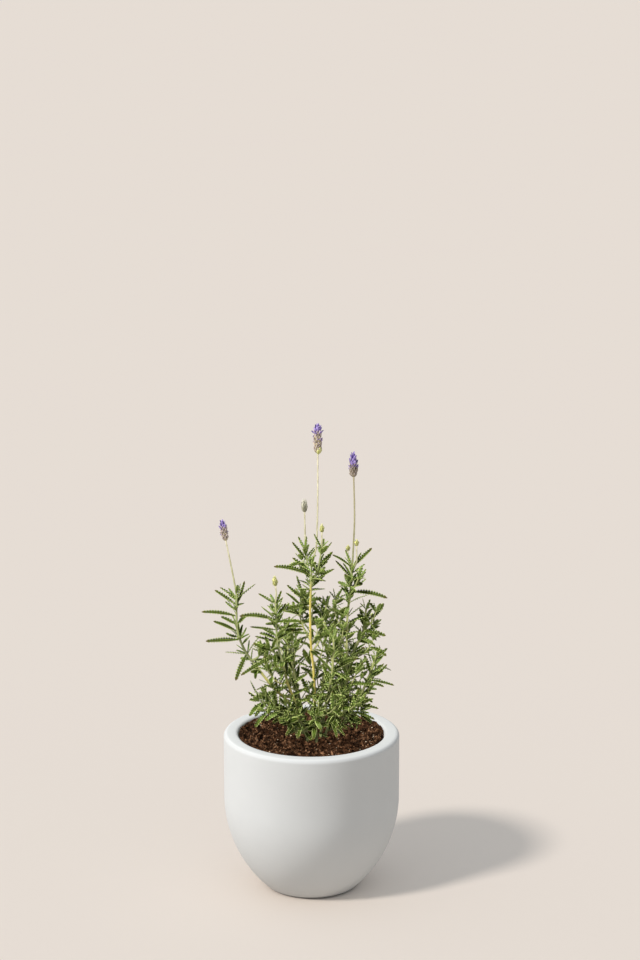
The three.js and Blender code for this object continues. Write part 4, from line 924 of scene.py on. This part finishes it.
def small_leaf_grids(leaves, tones):
    """Young leaves: a lens-shaped section of six points, wide and narrow in turn along four teeth."""
    blades = blade_set(leaves)
    s = np.array([0, 0.14, 0.24, 0.38, 0.48, 0.62, 0.72, 0.86, 0.97])
    tooth = np.array([0.7, 1, 0.2, 1, 0.2, 1, 0.2, 1, 0.6])[:, None]
    half = (blades["width"][:, None] / 2 * blade_outline(s))[..., None]
    turn = np.array([1, 0.45, -0.45, -1, -0.5, 0.5])
    edge = np.where(abs(turn) == 1, 1 - 0.3 * (1 - tooth), 1)
    bulge = np.array([0, 0.24, 0.24, 0, -0.34, -0.34]) * (0.7 + 0.3 * tooth)
    lift = np.minimum(half, 0.9) * bulge - 0.25 * half * abs(turn)
    # The pale band along the upper edges is partly the margin's own colour and partly painted light,
    # strongest on the teeth.
    edges = np.array([1, 0.5, 0.5, 1, 1.5, 1.5]) * np.where(bulge < 0, 1, 0.45 + 0.55 * tooth)
    return blade_grids(blades, s, half * turn * edge, lift, edges, np.array(tones)[:, None, None])


def tooth_count(leaf):
    """The number of teeth that stand along a leaf at their real pitch."""
    return max(4, round(leaf["length"] / TOOTH_PITCH))


def between_leaves(axis, index):
    """Opposite pairs between the main ones: one above each near the soil, and above every other higher up."""
    count, low, high = axis["pairs"]
    leaves = []
    pairs = max(count, 2)
    for k in range(pairs):
        u = low + (high - low) * (2 * k + 1.8) / (2 * pairs)
        if k % 2 == 0 and along_route(axis["route"], np.array(u))[2] > BUSHY_BELOW:
            continue
        for twin in (0, 1):
            chance = [draw(10 * index + twin + 3, 10 * k + j + BETWEEN_DRAWS) for j in range(5)]
            length = axis["leaf"] * BETWEEN_LEAVES * (0.65 + 0.6 * chance[3]) * (1 - 0.3 * u ** 2)
            leaves.append(grown_leaf(axis, u, 44 * k + 67 + 180 * twin + 37 * index + 30 * (chance[0] - 0.5),
                                     68 - 34 * u + 34 * (chance[1] - 0.5), 10 + 50 * chance[2],
                                     90 * (chance[4] - 0.5), length, 2.6 + 0.12 * length))
    return leaves


def side_shoots(axis, index):
    """A thin shoot from an axil of every pair but the last: it leaves aslant and turns up.

    It leaves an outer stem towards the plant's middle, and the bare stem to the back.
    """
    count, low, high = axis.get("shoots", axis["pairs"])
    shoots = []
    for k in range(count - 1):
        chance = [draw(10 * index + 5, 5 * k + j + SHOOT_DRAWS) for j in range(4)]
        u = low + (high - low) * k / (count - 1)
        start = along_route(axis["route"], np.array(u))
        way = heading(axis["route"], u)
        side, front = upright_frame(way)
        turn = (90 * k + 180 * (k // 2) + 37 * index + 100 * (chance[0] - 0.5)) * DEGREE
        outward = side * math.cos(turn) + front * math.sin(turn)
        from_middle = start - PLANT_MIDDLE
        outer = outward @ from_middle > 0 and np.hypot(*from_middle[:2]) > MIDDLE_REACH
        if outer or (axis["node"] == BARE_STEM["name"] and outward[1] < 0):
            outward = -outward
        height_share = min(1, max(0.2, (SHOOTS_TO - start[2]) / SHOOTS_OVER))
        reach = SHOOT_REACH * (0.5 + 0.6 * chance[1]) * height_share
        if axis["node"].startswith(SHORT_STEMS):
            reach *= SHORT_REACH
        route = [start + reach * (rise * way + out * outward) for rise, out in SHOOT_BEND]
        shoots.append({"node": axis["node"], "route": route, "radii": SHOOT_RADII, "pairs": SHOOT_PAIRS,
                       "leaf": 15 + 7 * chance[2], "leaves": ()})
    return shoots


def axil_leaf(leaf, index):
    """The short young leaf in a leaf's axil, between the leaf and its stem."""
    chance = [draw(index + AXIL_DRAWS, j) for j in range(5)]
    length = (0.3 + 0.3 * chance[1]) * leaf["length"] + 4
    return {**leaf, "outward": turned(leaf["outward"], leaf["axis"], (chance[0] - 0.5) * 60 * DEGREE),
            "tilt": (12 + 40 * chance[2]) * DEGREE, "bend": 36 * chance[3] * DEGREE,
            "roll": (chance[4] - 0.5) * 1.6, "length": length, "width": 1.5 + 0.08 * length}


def downy_leaf():
    """A downy lavender leaf: matt olive green, pale along its midrib and its rolled edge, brown at its tip.
    The edge's pale band is partly the margin's own colour and partly painted light.
    """
    material, tree, place = start_material(
        "downy_lavender_leaf", {"Roughness": 0.6, "IOR": 1.45, "Specular IOR Level": 0.04})
    along, across, tone = read_growth(tree)
    patches = add_node(tree, "TexNoise", {"Vector": place, "Scale": 1 / (6 * MM), "Detail": 3.0})
    spots = add_node(tree, "MapRange", {"Value": patches.outputs["Fac"], "From Min": 0.3, "From Max": 0.7,
                                        "To Min": -0.25, "To Max": 0.25})
    mixed = add_node(tree, "Math", {0: tone, 1: spots.outputs[0]}, operation="ADD").outputs[0]
    young = add_node(tree, "MapRange", {"Value": mixed, "From Min": 0.5, "From Max": 1.15, "To Max": 0.85})
    rib = add_node(tree, "MapRange", {"Value": across, "From Max": 0.25, "To Min": 0.35, "To Max": 0.0})
    # The pale edge band is partly the rolled margin's paler colour and partly painted light.
    edge = add_node(tree, "MapRange", {"Value": across, "From Min": 0.55, "From Max": 0.82, "To Max": 0.95})
    under = add_node(tree, "MapRange", {"Value": across, "From Min": 1.15, "From Max": 1.4})
    tip = add_node(tree, "MapRange", {"Value": along, "From Min": 0.86, "From Max": 0.98, "To Max": 0.75})
    down = add_node(tree, "TexNoise", {"Vector": place, "Scale": 1 / (0.7 * MM), "Detail": 3.0})
    bump = add_node(tree, "Bump", {"Height": down.outputs["Fac"], "Strength": 0.5, "Distance": 0.25 * MM})
    return finish_material(material, "#0f1800", (
        (mixed, "#4b641b"), (young.outputs[0], "#90a26a"), (rib.outputs[0], "#93a34c"),
        (edge.outputs[0], "#cbd988"), (under.outputs[0], "#7e9449"), (tip.outputs[0], "#5b4a2a")), bump)


def green_stem():
    """A ripening lavender stem: green at its root and tip, waxy yellow between, with lengthwise streaks."""
    material, tree, place = start_material("ripening_stem", {"Roughness": 0.5, "IOR": 1.45})
    _, _, ripe = read_growth(tree)
    stretched = add_node(tree, "Mapping", {"Vector": place, "Scale": (1, 1, 0.12)}).outputs[0]
    streaks = add_node(tree, "TexNoise", {"Vector": stretched, "Scale": 1 / (0.9 * MM), "Detail": 2.0})
    dull = add_node(tree, "MapRange", {"Value": streaks.outputs["Fac"], "From Min": 0.35, "From Max": 0.7,
                                       "To Max": 0.6})
    bump = add_node(tree, "Bump", {"Height": streaks.outputs["Fac"], "Strength": 0.3, "Distance": 0.2 * MM})
    return finish_material(material, "#8f9b68", ((ripe, "#f2dc70"), (dull.outputs[0], "#b3b078")), bump)


def flower_stalk(name, root, tip):
    """A flower stalk: thin and dry, its root and tip colours run into each other, with darker streaks."""
    material, tree, place = start_material(name, {"Roughness": 0.55, "IOR": 1.45})
    along, _, _ = read_growth(tree)
    stretched = add_node(tree, "Mapping", {"Vector": place, "Scale": (1, 1, 0.1)}).outputs[0]
    streaks = add_node(tree, "TexNoise", {"Vector": stretched, "Scale": 1 / (0.6 * MM), "Detail": 2.0})
    dry = add_node(tree, "MapRange", {"Value": streaks.outputs["Fac"], "From Min": 0.42, "From Max": 0.66,
                                      "To Max": 0.75})
    return finish_material(material, root, ((along, tip), (dry.outputs[0], "#827a58")))


def leaf_tone(leaf, index):
    """How pale a leaf is, from 0 to 1: its own draw, more towards the young tops, and less if it is long."""
    height, length = leaf["root"][2], leaf["length"]
    young = min(1, max(0, (height - YOUNG_FROM) / YOUNG_OVER)) * min(1, max(0, (OLD_LENGTH - length) / 10))
    old = min(1, max(0, (length - OLD_LENGTH) / OLD_OVER))
    return 0.05 + (0.5 - 0.3 * old) * draw(index, TONE_DRAWS) + 0.5 * young


stem_materials = [green_stem(), downy_leaf(), flower_stalk("straw_flower_stalk", "#a8ab7c", "#dcd6be"),
                  flower_stalk("olive_flower_stalk", "#8e9468", "#a89f82")]
bare_stem = next(axis for axis in axes if axis["node"] == BARE_STEM["name"])
bushy = [(index, axis) for index, axis in enumerate(axes) if axis["node"] not in OPEN_STEMS]
fill_leaves = [leaf for index, axis in bushy if axis is not bare_stem for leaf in between_leaves(axis, index)]
for index, axis in enumerate(axes):
    if "crown" in axis:
        fill_leaves += paired_leaves({**axis, "pairs": axis["crown"]}, CROWN_INDEX + index)
    if "top" in axis:
        fill_leaves += paired_leaves({**axis, "pairs": axis["top"], "leaf": TOP_LEAF}, TOP_INDEX + index)
shoots = [shoot for index, axis in bushy for shoot in side_shoots(axis, index)]
for index, shoot in enumerate(shoots):
    fill_leaves += paired_leaves(shoot, SHOOT_INDEX + index) + tip_leaves(shoot, SHOOT_INDEX + index)
open_view = stems_alone()
open_view.add(bare_bars(TO_SUN))
fill_leaves = [{**leaf, "width": FILL_WIDTH * leaf["width"]} for leaf in fill_leaves]
fill_leaves = [leaf for leaf in fill_leaves if open_view.clear_of(blade_bars(leaf))]
toothed = main_leaves + fill_leaves
axes += shoots
grown = []                        # all that the sun on the leaves shines on
for stem_name, stem in STEMS.items():
    x, y, low = stem["route"][0]
    parts = [(*stem_grid(((x, y, ROOT_BOTTOM), (x, y, low + 1)), (MAIN_RADII[0], MAIN_RADII[0])), STEM_SLOT)]
    parts += [(*stem_grid(axis["route"], axis["radii"], *RIPENESS.get(stem_name, GREEN)), STEM_SLOT)
              for axis in axes if axis["node"] == stem_name and axis is not bare_stem]
    parts += [(*stem_grid(stalk["route"], stalk["radii"], ripeness=0, girth=STALK_GIRTH),
               OLIVE_SLOT if stalk["holds"] in OLIVE_STALKS else STRAW_SLOT)
              for stalk in stalks if stalk["node"] == stem_name]
    own = [(index, leaf) for index, leaf in enumerate(toothed) if leaf["node"] == stem_name]
    by_teeth = {}
    for index, leaf in own:
        by_teeth.setdefault(tooth_count(leaf), []).append((index, leaf))
    for group in by_teeth.values():
        tones = [leaf_tone(leaf, index) for index, leaf in group]
        parts.append((*leaf_grids([leaf for _, leaf in group], tones), LEAF_SLOT))
    young = [axil_leaf(leaf, index) for index, leaf in own if index < len(main_leaves)]
    young = [small for small in young if open_view.clear_of(blade_bars(small))]
    young_tones = [0.1 + leaf_tone(small, 3 * index + 1) for index, small in enumerate(young)]
    parts.append((*small_leaf_grids(young, young_tones), LEAF_SLOT))
    leafy = make_piece(stem_name + "_leafy", parts, stem_materials)
    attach(leafy, "root")
    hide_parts(stem_name)
    grown.append(leafy)

bare_parts = [(*stem_grid(bare_stem["route"], bare_stem["radii"]), STEM_SLOT)]
bare_wood = make_piece("stem_centre_wood", bare_parts, stem_materials)
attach(bare_wood, "root")
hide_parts("stem_centre")

# ---- the flower spikes and buds ----
# A spike is a slim axis under whorls of ribbed, downy calyces, each whorl on a ring of broad papery bracts.
# Open spikes end in a tuft of large purple bracts. Buds and the unopened spike are wrapped in close scales.

# Each tier of a tuft is (count, foot, reach, flare, tilt, bend, length). foot and length are shares of its
# height, reach of its radius, and flare of the spike's own flare, which adds to the tilt.
TUFT_TIERS = ((6, -0.08, 0.45, 1, 0, -16, 0.58), (6, 0.1, 0.4, 0.35, 15, -34, 0.56),
              (5, 0.3, 0.28, 0, 22, -22, 0.54), (3, 0.42, 0.12, 0, 9, 0, 0.54))
FOOT_BRACTS = {"spike_centre": (-1.2, 300, 9.5, 6)}     # its lowest bract: height, turn, length and width
FLORETS = {"spike_centre": 3, "spike_right": 6, "spike_left": 2}
# How far a bud's scales stand off in degrees, how far they lap round it, and its girth for its radius.
CLOSED_SCALES = (22, 2.3, 0.8)
LOOSE_SCALES = {"spike_green": (27, 1.7, 0.72)}
CALYX_SLOT, BRACT_SLOT, GREEN_SLOT = range(3)
CALYX_SIDES = 8
# How much of the shade colour a spike's core takes: painted shade that shows in the gaps between scales.
CORE_TONE = 0.35
SCALE_PLACES = np.array([1, 0.5, 0, -0.5, -1, -0.5, 0, 0.5])            # round a scale's section
SCALE_UNDER = np.array([0, 0, 0, 0, 0, 1, 1, 1])
# Random numbers start from the length of a spike's name, to which tufts and flowers add these.
TUFT_SEED, FLORET_SEED = 40, 90


def in_frame(parts, place):
    """Parts from a spike's own frame set on the end of its stalk."""
    foot, side, front, way = place
    return [(foot + grids @ np.stack([side, front, way]), growth, slot) for grids, growth, slot in parts]


def scale_set(height, turn, reach, tilt, bend, length, width, roll=0.0):
    """Blades round an upright axis at the origin, as arrays: turn in radians, other angles in degrees."""
    height, turn, reach, tilt, bend, length, width, roll = (np.array(values, float) for values in (
        np.broadcast_arrays(height, turn, reach, tilt, bend, length, width, roll)))
    outward = np.stack([np.cos(turn), np.sin(turn), 0 * turn], -1)
    root = outward * reach[:, None]
    root[:, 2] = height
    return {"root": root, "axis": np.broadcast_to(UPRIGHT, root.shape), "outward": outward,
            "tilt": tilt * DEGREE, "bend": bend * DEGREE, "roll": roll * DEGREE,
            "length": length, "width": width}


def petal_grids(blades, tones, belly, point, cup, thick):
    """Papery scales: a lens section cupped by cup, widest at belly, drawn to a tip that point sharpens."""
    s = np.array([0.0, 0.12, 0.28, 0.46, 0.64, 0.8, 0.92, 0.985])
    power = math.log(0.5) / math.log(belly)
    outline = np.sin(np.pi * np.clip(s, 0.02, 0.985) ** power) ** point
    outline = np.maximum(outline, 0.22 * (1 - s) ** 2)
    half = (blades["width"][:, None] / 2 * outline)[..., None]
    t = SCALE_PLACES
    wave = 0.08 * half * np.cos(2.2 * np.pi * s)[:, None] * abs(t) ** 3
    lift = cup * t ** 2 * half - SCALE_UNDER * thick + wave
    return blade_grids(blades, s, half * t, lift, abs(t), np.array(tones)[:, None, None])


def calyx_grids(blades, tones):
    """Small ribbed tubes: an eight-sided section that swells above its root and narrows to the mouth."""
    s = np.array([0.0, 0.2, 0.5, 0.75, 0.93, 1.0])
    sides = np.arange(CALYX_SIDES)
    turn = 2 * np.pi * sides / CALYX_SIDES
    half = (blades["width"][:, None] / 2 * np.array([0.5, 0.85, 1, 0.96, 0.8, 0.5]))[..., None]
    ribbed = half * np.where(sides % 2, 1, 0.84)
    tones = np.array(tones)[:, None, None]
    return blade_grids(blades, s, ribbed * np.cos(turn), ribbed * np.sin(turn), sides % 2, tones)


def core_grid(length, radius, taper):
    """A slim spindle under the scales: a half wave of the height, as wide as radius."""
    z = np.linspace(0, 1, 9)
    wide = radius * np.maximum(np.sin(np.pi * (0.12 + 0.8 * z)) ** taper, 0.15)
    grid = lathe(np.stack([wide, z * length], -1), 10)[None]
    return grid, np.broadcast_to((0.5, 0.5, CORE_TONE), grid.shape)


def papery(name, base, tip, shade, streak):
    """Downy plant paper, such as bracts: base and tip colours run into each other, under streaked veins."""
    material, tree, place = start_material(name, {"Roughness": 0.68, "IOR": 1.4, "Specular IOR Level": 0.3,
                                                  "Sheen Weight": 0.2, "Sheen Roughness": 0.4})
    along, across, tone = read_growth(tree)
    vein = add_node(tree, "Math", {0: across, 1: 9.0}, operation="MULTIPLY")
    wave = add_node(tree, "Math", {0: vein.outputs[0]}, operation="SINE")
    faint = add_node(tree, "MapRange", {"Value": wave.outputs[0], "From Min": 0.2, "To Max": 0.35})
    down = add_node(tree, "TexNoise", {"Vector": place, "Scale": 1 / (0.6 * MM), "Detail": 2.0})
    bump = add_node(tree, "Bump", {"Height": down.outputs["Fac"], "Strength": 0.35, "Distance": 0.15 * MM})
    # tone mixes in the darker shade colour: at random on a spike's scales, and as painted shade on buds'
    # lower rows and on the core.
    return finish_material(material, base, ((along, tip), (tone, shade), (faint.outputs[0], streak)), bump)


calyx_down = papery("downy_calyx", "#cfc29f", "#c3b1c4", "#84766a", "#f2e9d8")
bract_paper = papery("papery_bract", "#c9c190", "#e2d0b6", "#7b6c5b", "#efe3ca")
purple_petal = papery("purple_petal", "#896dc0", "#b4a0e0", "#62489e", "#d2c6ee")
bud_scale = papery("yellow_green_scale", "#bcc05a", "#faf7b0", "#84863a", "#fbf9cf")
grey_scale = papery("grey_green_scale", "#8f8e66", "#fbf9ea", "#4c4a30", "#e6e3c8")


def spike_parts(name, shape):
    """The body of an open spike: whorls of bracts, each under a ring of calyces, swelling in the middle."""
    body, radius, shade = shape["body"], shape["radius"], shape["shade"]
    whorls, around = shape["whorls"], shape["around"]
    whorl, seat = (index.ravel() for index in np.mgrid[0:whorls + 1, 0:around])
    pitch = body / (whorls + 0.4)
    chance = np.random.default_rng(len(name)).uniform(0, 1, (6, len(whorl)))
    swelling = radius * (0.8 + 0.2 * np.sin(np.pi * (whorl + 0.6) / (whorls + 1)))
    turn = 2 * np.pi * (seat + 0.5 * (whorl % 2)) / around + 0.25 * (chance[0] - 0.5)
    low = whorl * pitch * 0.92
    bracts = scale_set(low + 0.1 * pitch, turn, 0.34 * swelling, 54 + 14 * chance[1], -64,
                       0.8 * swelling + 0.4 * pitch, 4.6 * swelling / around, 30 * (chance[2] - 0.5))
    calyces = scale_set(low + 0.3 * pitch, turn + np.pi / around, 0.34 * swelling, 34 + 22 * chance[3], -28,
                        1.1 * pitch + 1.1 * chance[5] + 0.8, 1.4 + 0.4 * chance[4])
    parts = [(*core_grid(body, 0.56 * radius, 0.6), BRACT_SLOT),
             (*petal_grids(bracts, shade + 0.7 * chance[5], 0.42, 0.8, 0.28, 0.22), BRACT_SLOT),
             (*calyx_grids(calyces, shade + 0.5 * chance[1]), CALYX_SLOT)]
    if name in FOOT_BRACTS:
        height, turn, length, width = FOOT_BRACTS[name]
        foot_bract = scale_set([height], turn * DEGREE, 0.9, 66, -78, length, width)
        parts.append((*petal_grids(foot_bract, [0.5], 0.5, 0.6, 0.55, 0.25), GREEN_SLOT))
    return parts


def bud_parts(name, shape):
    """A closed bud: rows of overlapping pointed scales, pressed to an egg-shaped core."""
    body, radius, whorls, around = shape["body"], shape["radius"], shape["whorls"], shape["around"]
    loose, lap, plump = LOOSE_SCALES.get(name, CLOSED_SCALES)
    whorl, seat = (index.ravel() for index in np.mgrid[0:whorls, 0:around])
    rise = whorl / (whorls - 1)
    girth = radius * plump * np.sin(np.pi * (0.32 + 0.53 * rise))
    turn = 2 * np.pi * (seat + 0.5 * (whorl % 2)) / around
    share = np.modf(0.37 * seat + 0.61 * whorl)[0]
    scales = scale_set(rise * body * 0.56, turn, 0.55 * girth, loose - 6 * rise + 12 * share,
                       -34 - 8 * rise, body * 0.46, lap * np.pi * girth / around)
    # The lower rows take more of the shade colour: on the grey spike its own darker foot, on the yellow buds
    # painted shade on their lower side.
    tones = 0.8 * (1 - rise) ** 1.5 + 0.9 * (share - 0.5)
    return [(*core_grid(body * 0.72, 0.8 * radius, 0.8), 0),
            (*petal_grids(scales, tones, 0.4, 0.75, -0.5, 0.2), 0)]


def tuft_parts(name, shape):
    """The crown of an open spike: tiers of petal-like bracts that bulge out and close in like a flame."""
    body, high, radius = shape["body"], shape["tuft"], shape["tuft_radius"]
    parts = []
    for tier, (count, foot, reach, flare, tilt, bend, length) in enumerate(TUFT_TIERS):
        chance = np.random.default_rng(len(name) + TUFT_SEED + tier).uniform(0, 1, (4, count))
        turn = 2 * np.pi * (np.arange(count) + 0.5 * tier) / count + 0.5 * (chance[0] - 0.5)
        petals = scale_set(body + foot * high, turn, reach * radius,
                           tilt + flare * shape["flare"] + 24 * (chance[1] - 0.5), bend,
                           high * length * (0.8 + 0.24 * chance[2]), radius * 0.78, 24 * (chance[0] - 0.5))
        parts.append((*petal_grids(petals, 0.9 * chance[3], 0.5, 0.7, 0.3, 0.2), 0))
    return parts


def floret_parts(name, shape):
    """The few open flowers: four small lilac lobes each, at the spike's side."""
    flower, lobe = (index.ravel() for index in np.mgrid[0:FLORETS[name], 0:4])
    chance = np.random.default_rng(len(name) + FLORET_SEED).uniform(0, 1, (2, FLORETS[name]))
    turn = 2 * np.pi * (0.382 * flower + 0.1 * chance[0][flower])
    height = shape["body"] * (0.45 + 0.5 * chance[1][flower])
    petals = scale_set(height, turn + 0.4 * (lobe - 1.5), shape["radius"] * 0.8, 30 + 16 * (lobe % 2),
                       20, 2, 1.6)
    return [(*petal_grids(petals, 0.5 * chance[0][flower], 0.6, 0.6, 0.25, 0.18), 0)]


heads = []
for stalk in stalks:
    name = stalk["holds"]
    shape = SPIKES[name]
    place = spike_place(stalk)
    is_open = shape["tuft"] > 0
    if is_open:
        body_parts, papers = spike_parts(name, shape), [calyx_down, bract_paper, bud_scale]
    else:
        body_parts, papers = bud_parts(name, shape), [grey_scale if name == "spike_green" else bud_scale]
    body = make_piece(name + "_scales", in_frame(body_parts, place), papers)
    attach(body, "root")
    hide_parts(name)
    heads.append(body)
    if is_open:
        petals = in_frame(tuft_parts(name, shape) + floret_parts(name, shape), place)
        tuft = make_piece(name + "_petals", petals, [purple_petal])
        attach(tuft, "root")
        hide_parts(name + "_tuft")
        heads.append(tuft)

# ---- floor, light and camera ----
# A plain pale floor that fills the view, an even sky with a bright horizon, and soft sun from the front left.
# The floor, the pot, the leaves, and the soil with the flowers each have a sun of their own: only the pot's
# shadow lies on the floor, to the right, and leaves shade nothing but each other.

CAMERA_AIM = (8.2, 0, 405.8)
CAMERA_DISTANCE = 2522.1
CAMERA_PITCH = 13.6065 * DEGREE
CAMERA_LENS = 100
FARTHEST = 200                    # how far the camera sees, in metres
SUN_SPREAD = 9 * DEGREE
FLOOR_HALF = 30000


def studio_floor():
    """Painted studio floor: pale, warm and quite matt, with the slightest mottle."""
    material, tree, place = start_material(
        "painted_studio_floor", {"Roughness": 0.95, "IOR": 1.4, "Specular IOR Level": 0.0})
    mottle = add_node(tree, "TexNoise", {"Vector": place, "Scale": 3.0})
    return finish_material(material, "#f3e9e1", ((mottle.outputs["Fac"], "#f3eae1"),))


corners = np.array([[-1, -1, 0], [1, -1, 0], [1, 1, 0], [-1, 1, 0]]) * FLOOR_HALF * MM
floor_mesh = bpy.data.meshes.new("studio_floor")
floor_mesh.from_pydata(corners.tolist(), [], [(0, 1, 2, 3)])
floor_mesh.materials.append(studio_floor())
floor = bpy.data.objects.new("studio_floor", floor_mesh)
bpy.context.scene.collection.objects.link(floor)

world = bpy.data.worlds.new("studio_sky")
bpy.context.scene.world = world
world.use_nodes = True
sky = world.node_tree
direction = add_node(sky, "SeparateXYZ", {0: add_node(sky, "TexCoord", {}).outputs["Generated"]})
rise = add_node(sky, "MapRange", {"Value": direction.outputs["Z"], "From Min": 0.01, "From Max": 0.07})
shade = add_node(sky, "Mix", {0: rise.outputs[0], 6: linear("#e5dbd3"), 7: linear("#c0c4c7")},
                 data_type="RGBA")
sky.links.new(shade.outputs[2], sky.nodes["Background"].inputs["Color"])


def tied_group(name, members):
    """A collection of the pieces that a light shines on, or that shade it."""
    made = bpy.data.collections.new(name)
    for member in members:
        made.objects.link(member)
    return made


# Each sun is (name, azimuth from +X towards +Y, height, strength, colour, what it lights, what shades it).
for name, azimuth, height, strength, colour, lit, shading in (
        ("sun_on_floor", 216, 39.2, 1.76, (1, 0.93, 0.86), [floor], [pot]),
        ("sun_on_pot", 205, 47, 3.6, (1, 0.98, 0.955), [pot], [pot]),
        ("sun_past_leaves", 207, 40, 3.8, (1, 0.97, 0.9), [soil, crumbs, bare_wood, *heads],
         [pot, soil, crumbs, *heads]),
        ("sun_on_leaves", 246, 50, 4.6, (1, 0.97, 0.9), grown, [pot, soil, crumbs, bare_wood, *grown])):
    sun_light = bpy.data.lights.new(name, "SUN")
    sun_light.energy = strength
    sun_light.color = colour
    sun_light.angle = SUN_SPREAD
    sun = bpy.data.objects.new(name, sun_light)
    sun.rotation_euler = (QUARTER - height * DEGREE, 0, azimuth * DEGREE + QUARTER)
    sun.light_linking.receiver_collection = tied_group(name + "_lit", lit)
    sun.light_linking.blocker_collection = tied_group(name + "_shading", shading)
    bpy.context.scene.collection.objects.link(sun)

lens = bpy.data.cameras.new("camera")
lens.lens = CAMERA_LENS
lens.clip_end = FARTHEST
camera = bpy.data.objects.new("camera", lens)
camera.location = (CAMERA_AIM[0] * MM, -CAMERA_DISTANCE * math.cos(CAMERA_PITCH) * MM,
                   (CAMERA_AIM[2] + CAMERA_DISTANCE * math.sin(CAMERA_PITCH)) * MM)
camera.rotation_euler = (QUARTER - CAMERA_PITCH, 0, 0)
bpy.context.scene.collection.objects.link(camera)
bpy.context.scene.camera = camera
bpy.context.scene.view_settings.view_transform = "Standard"
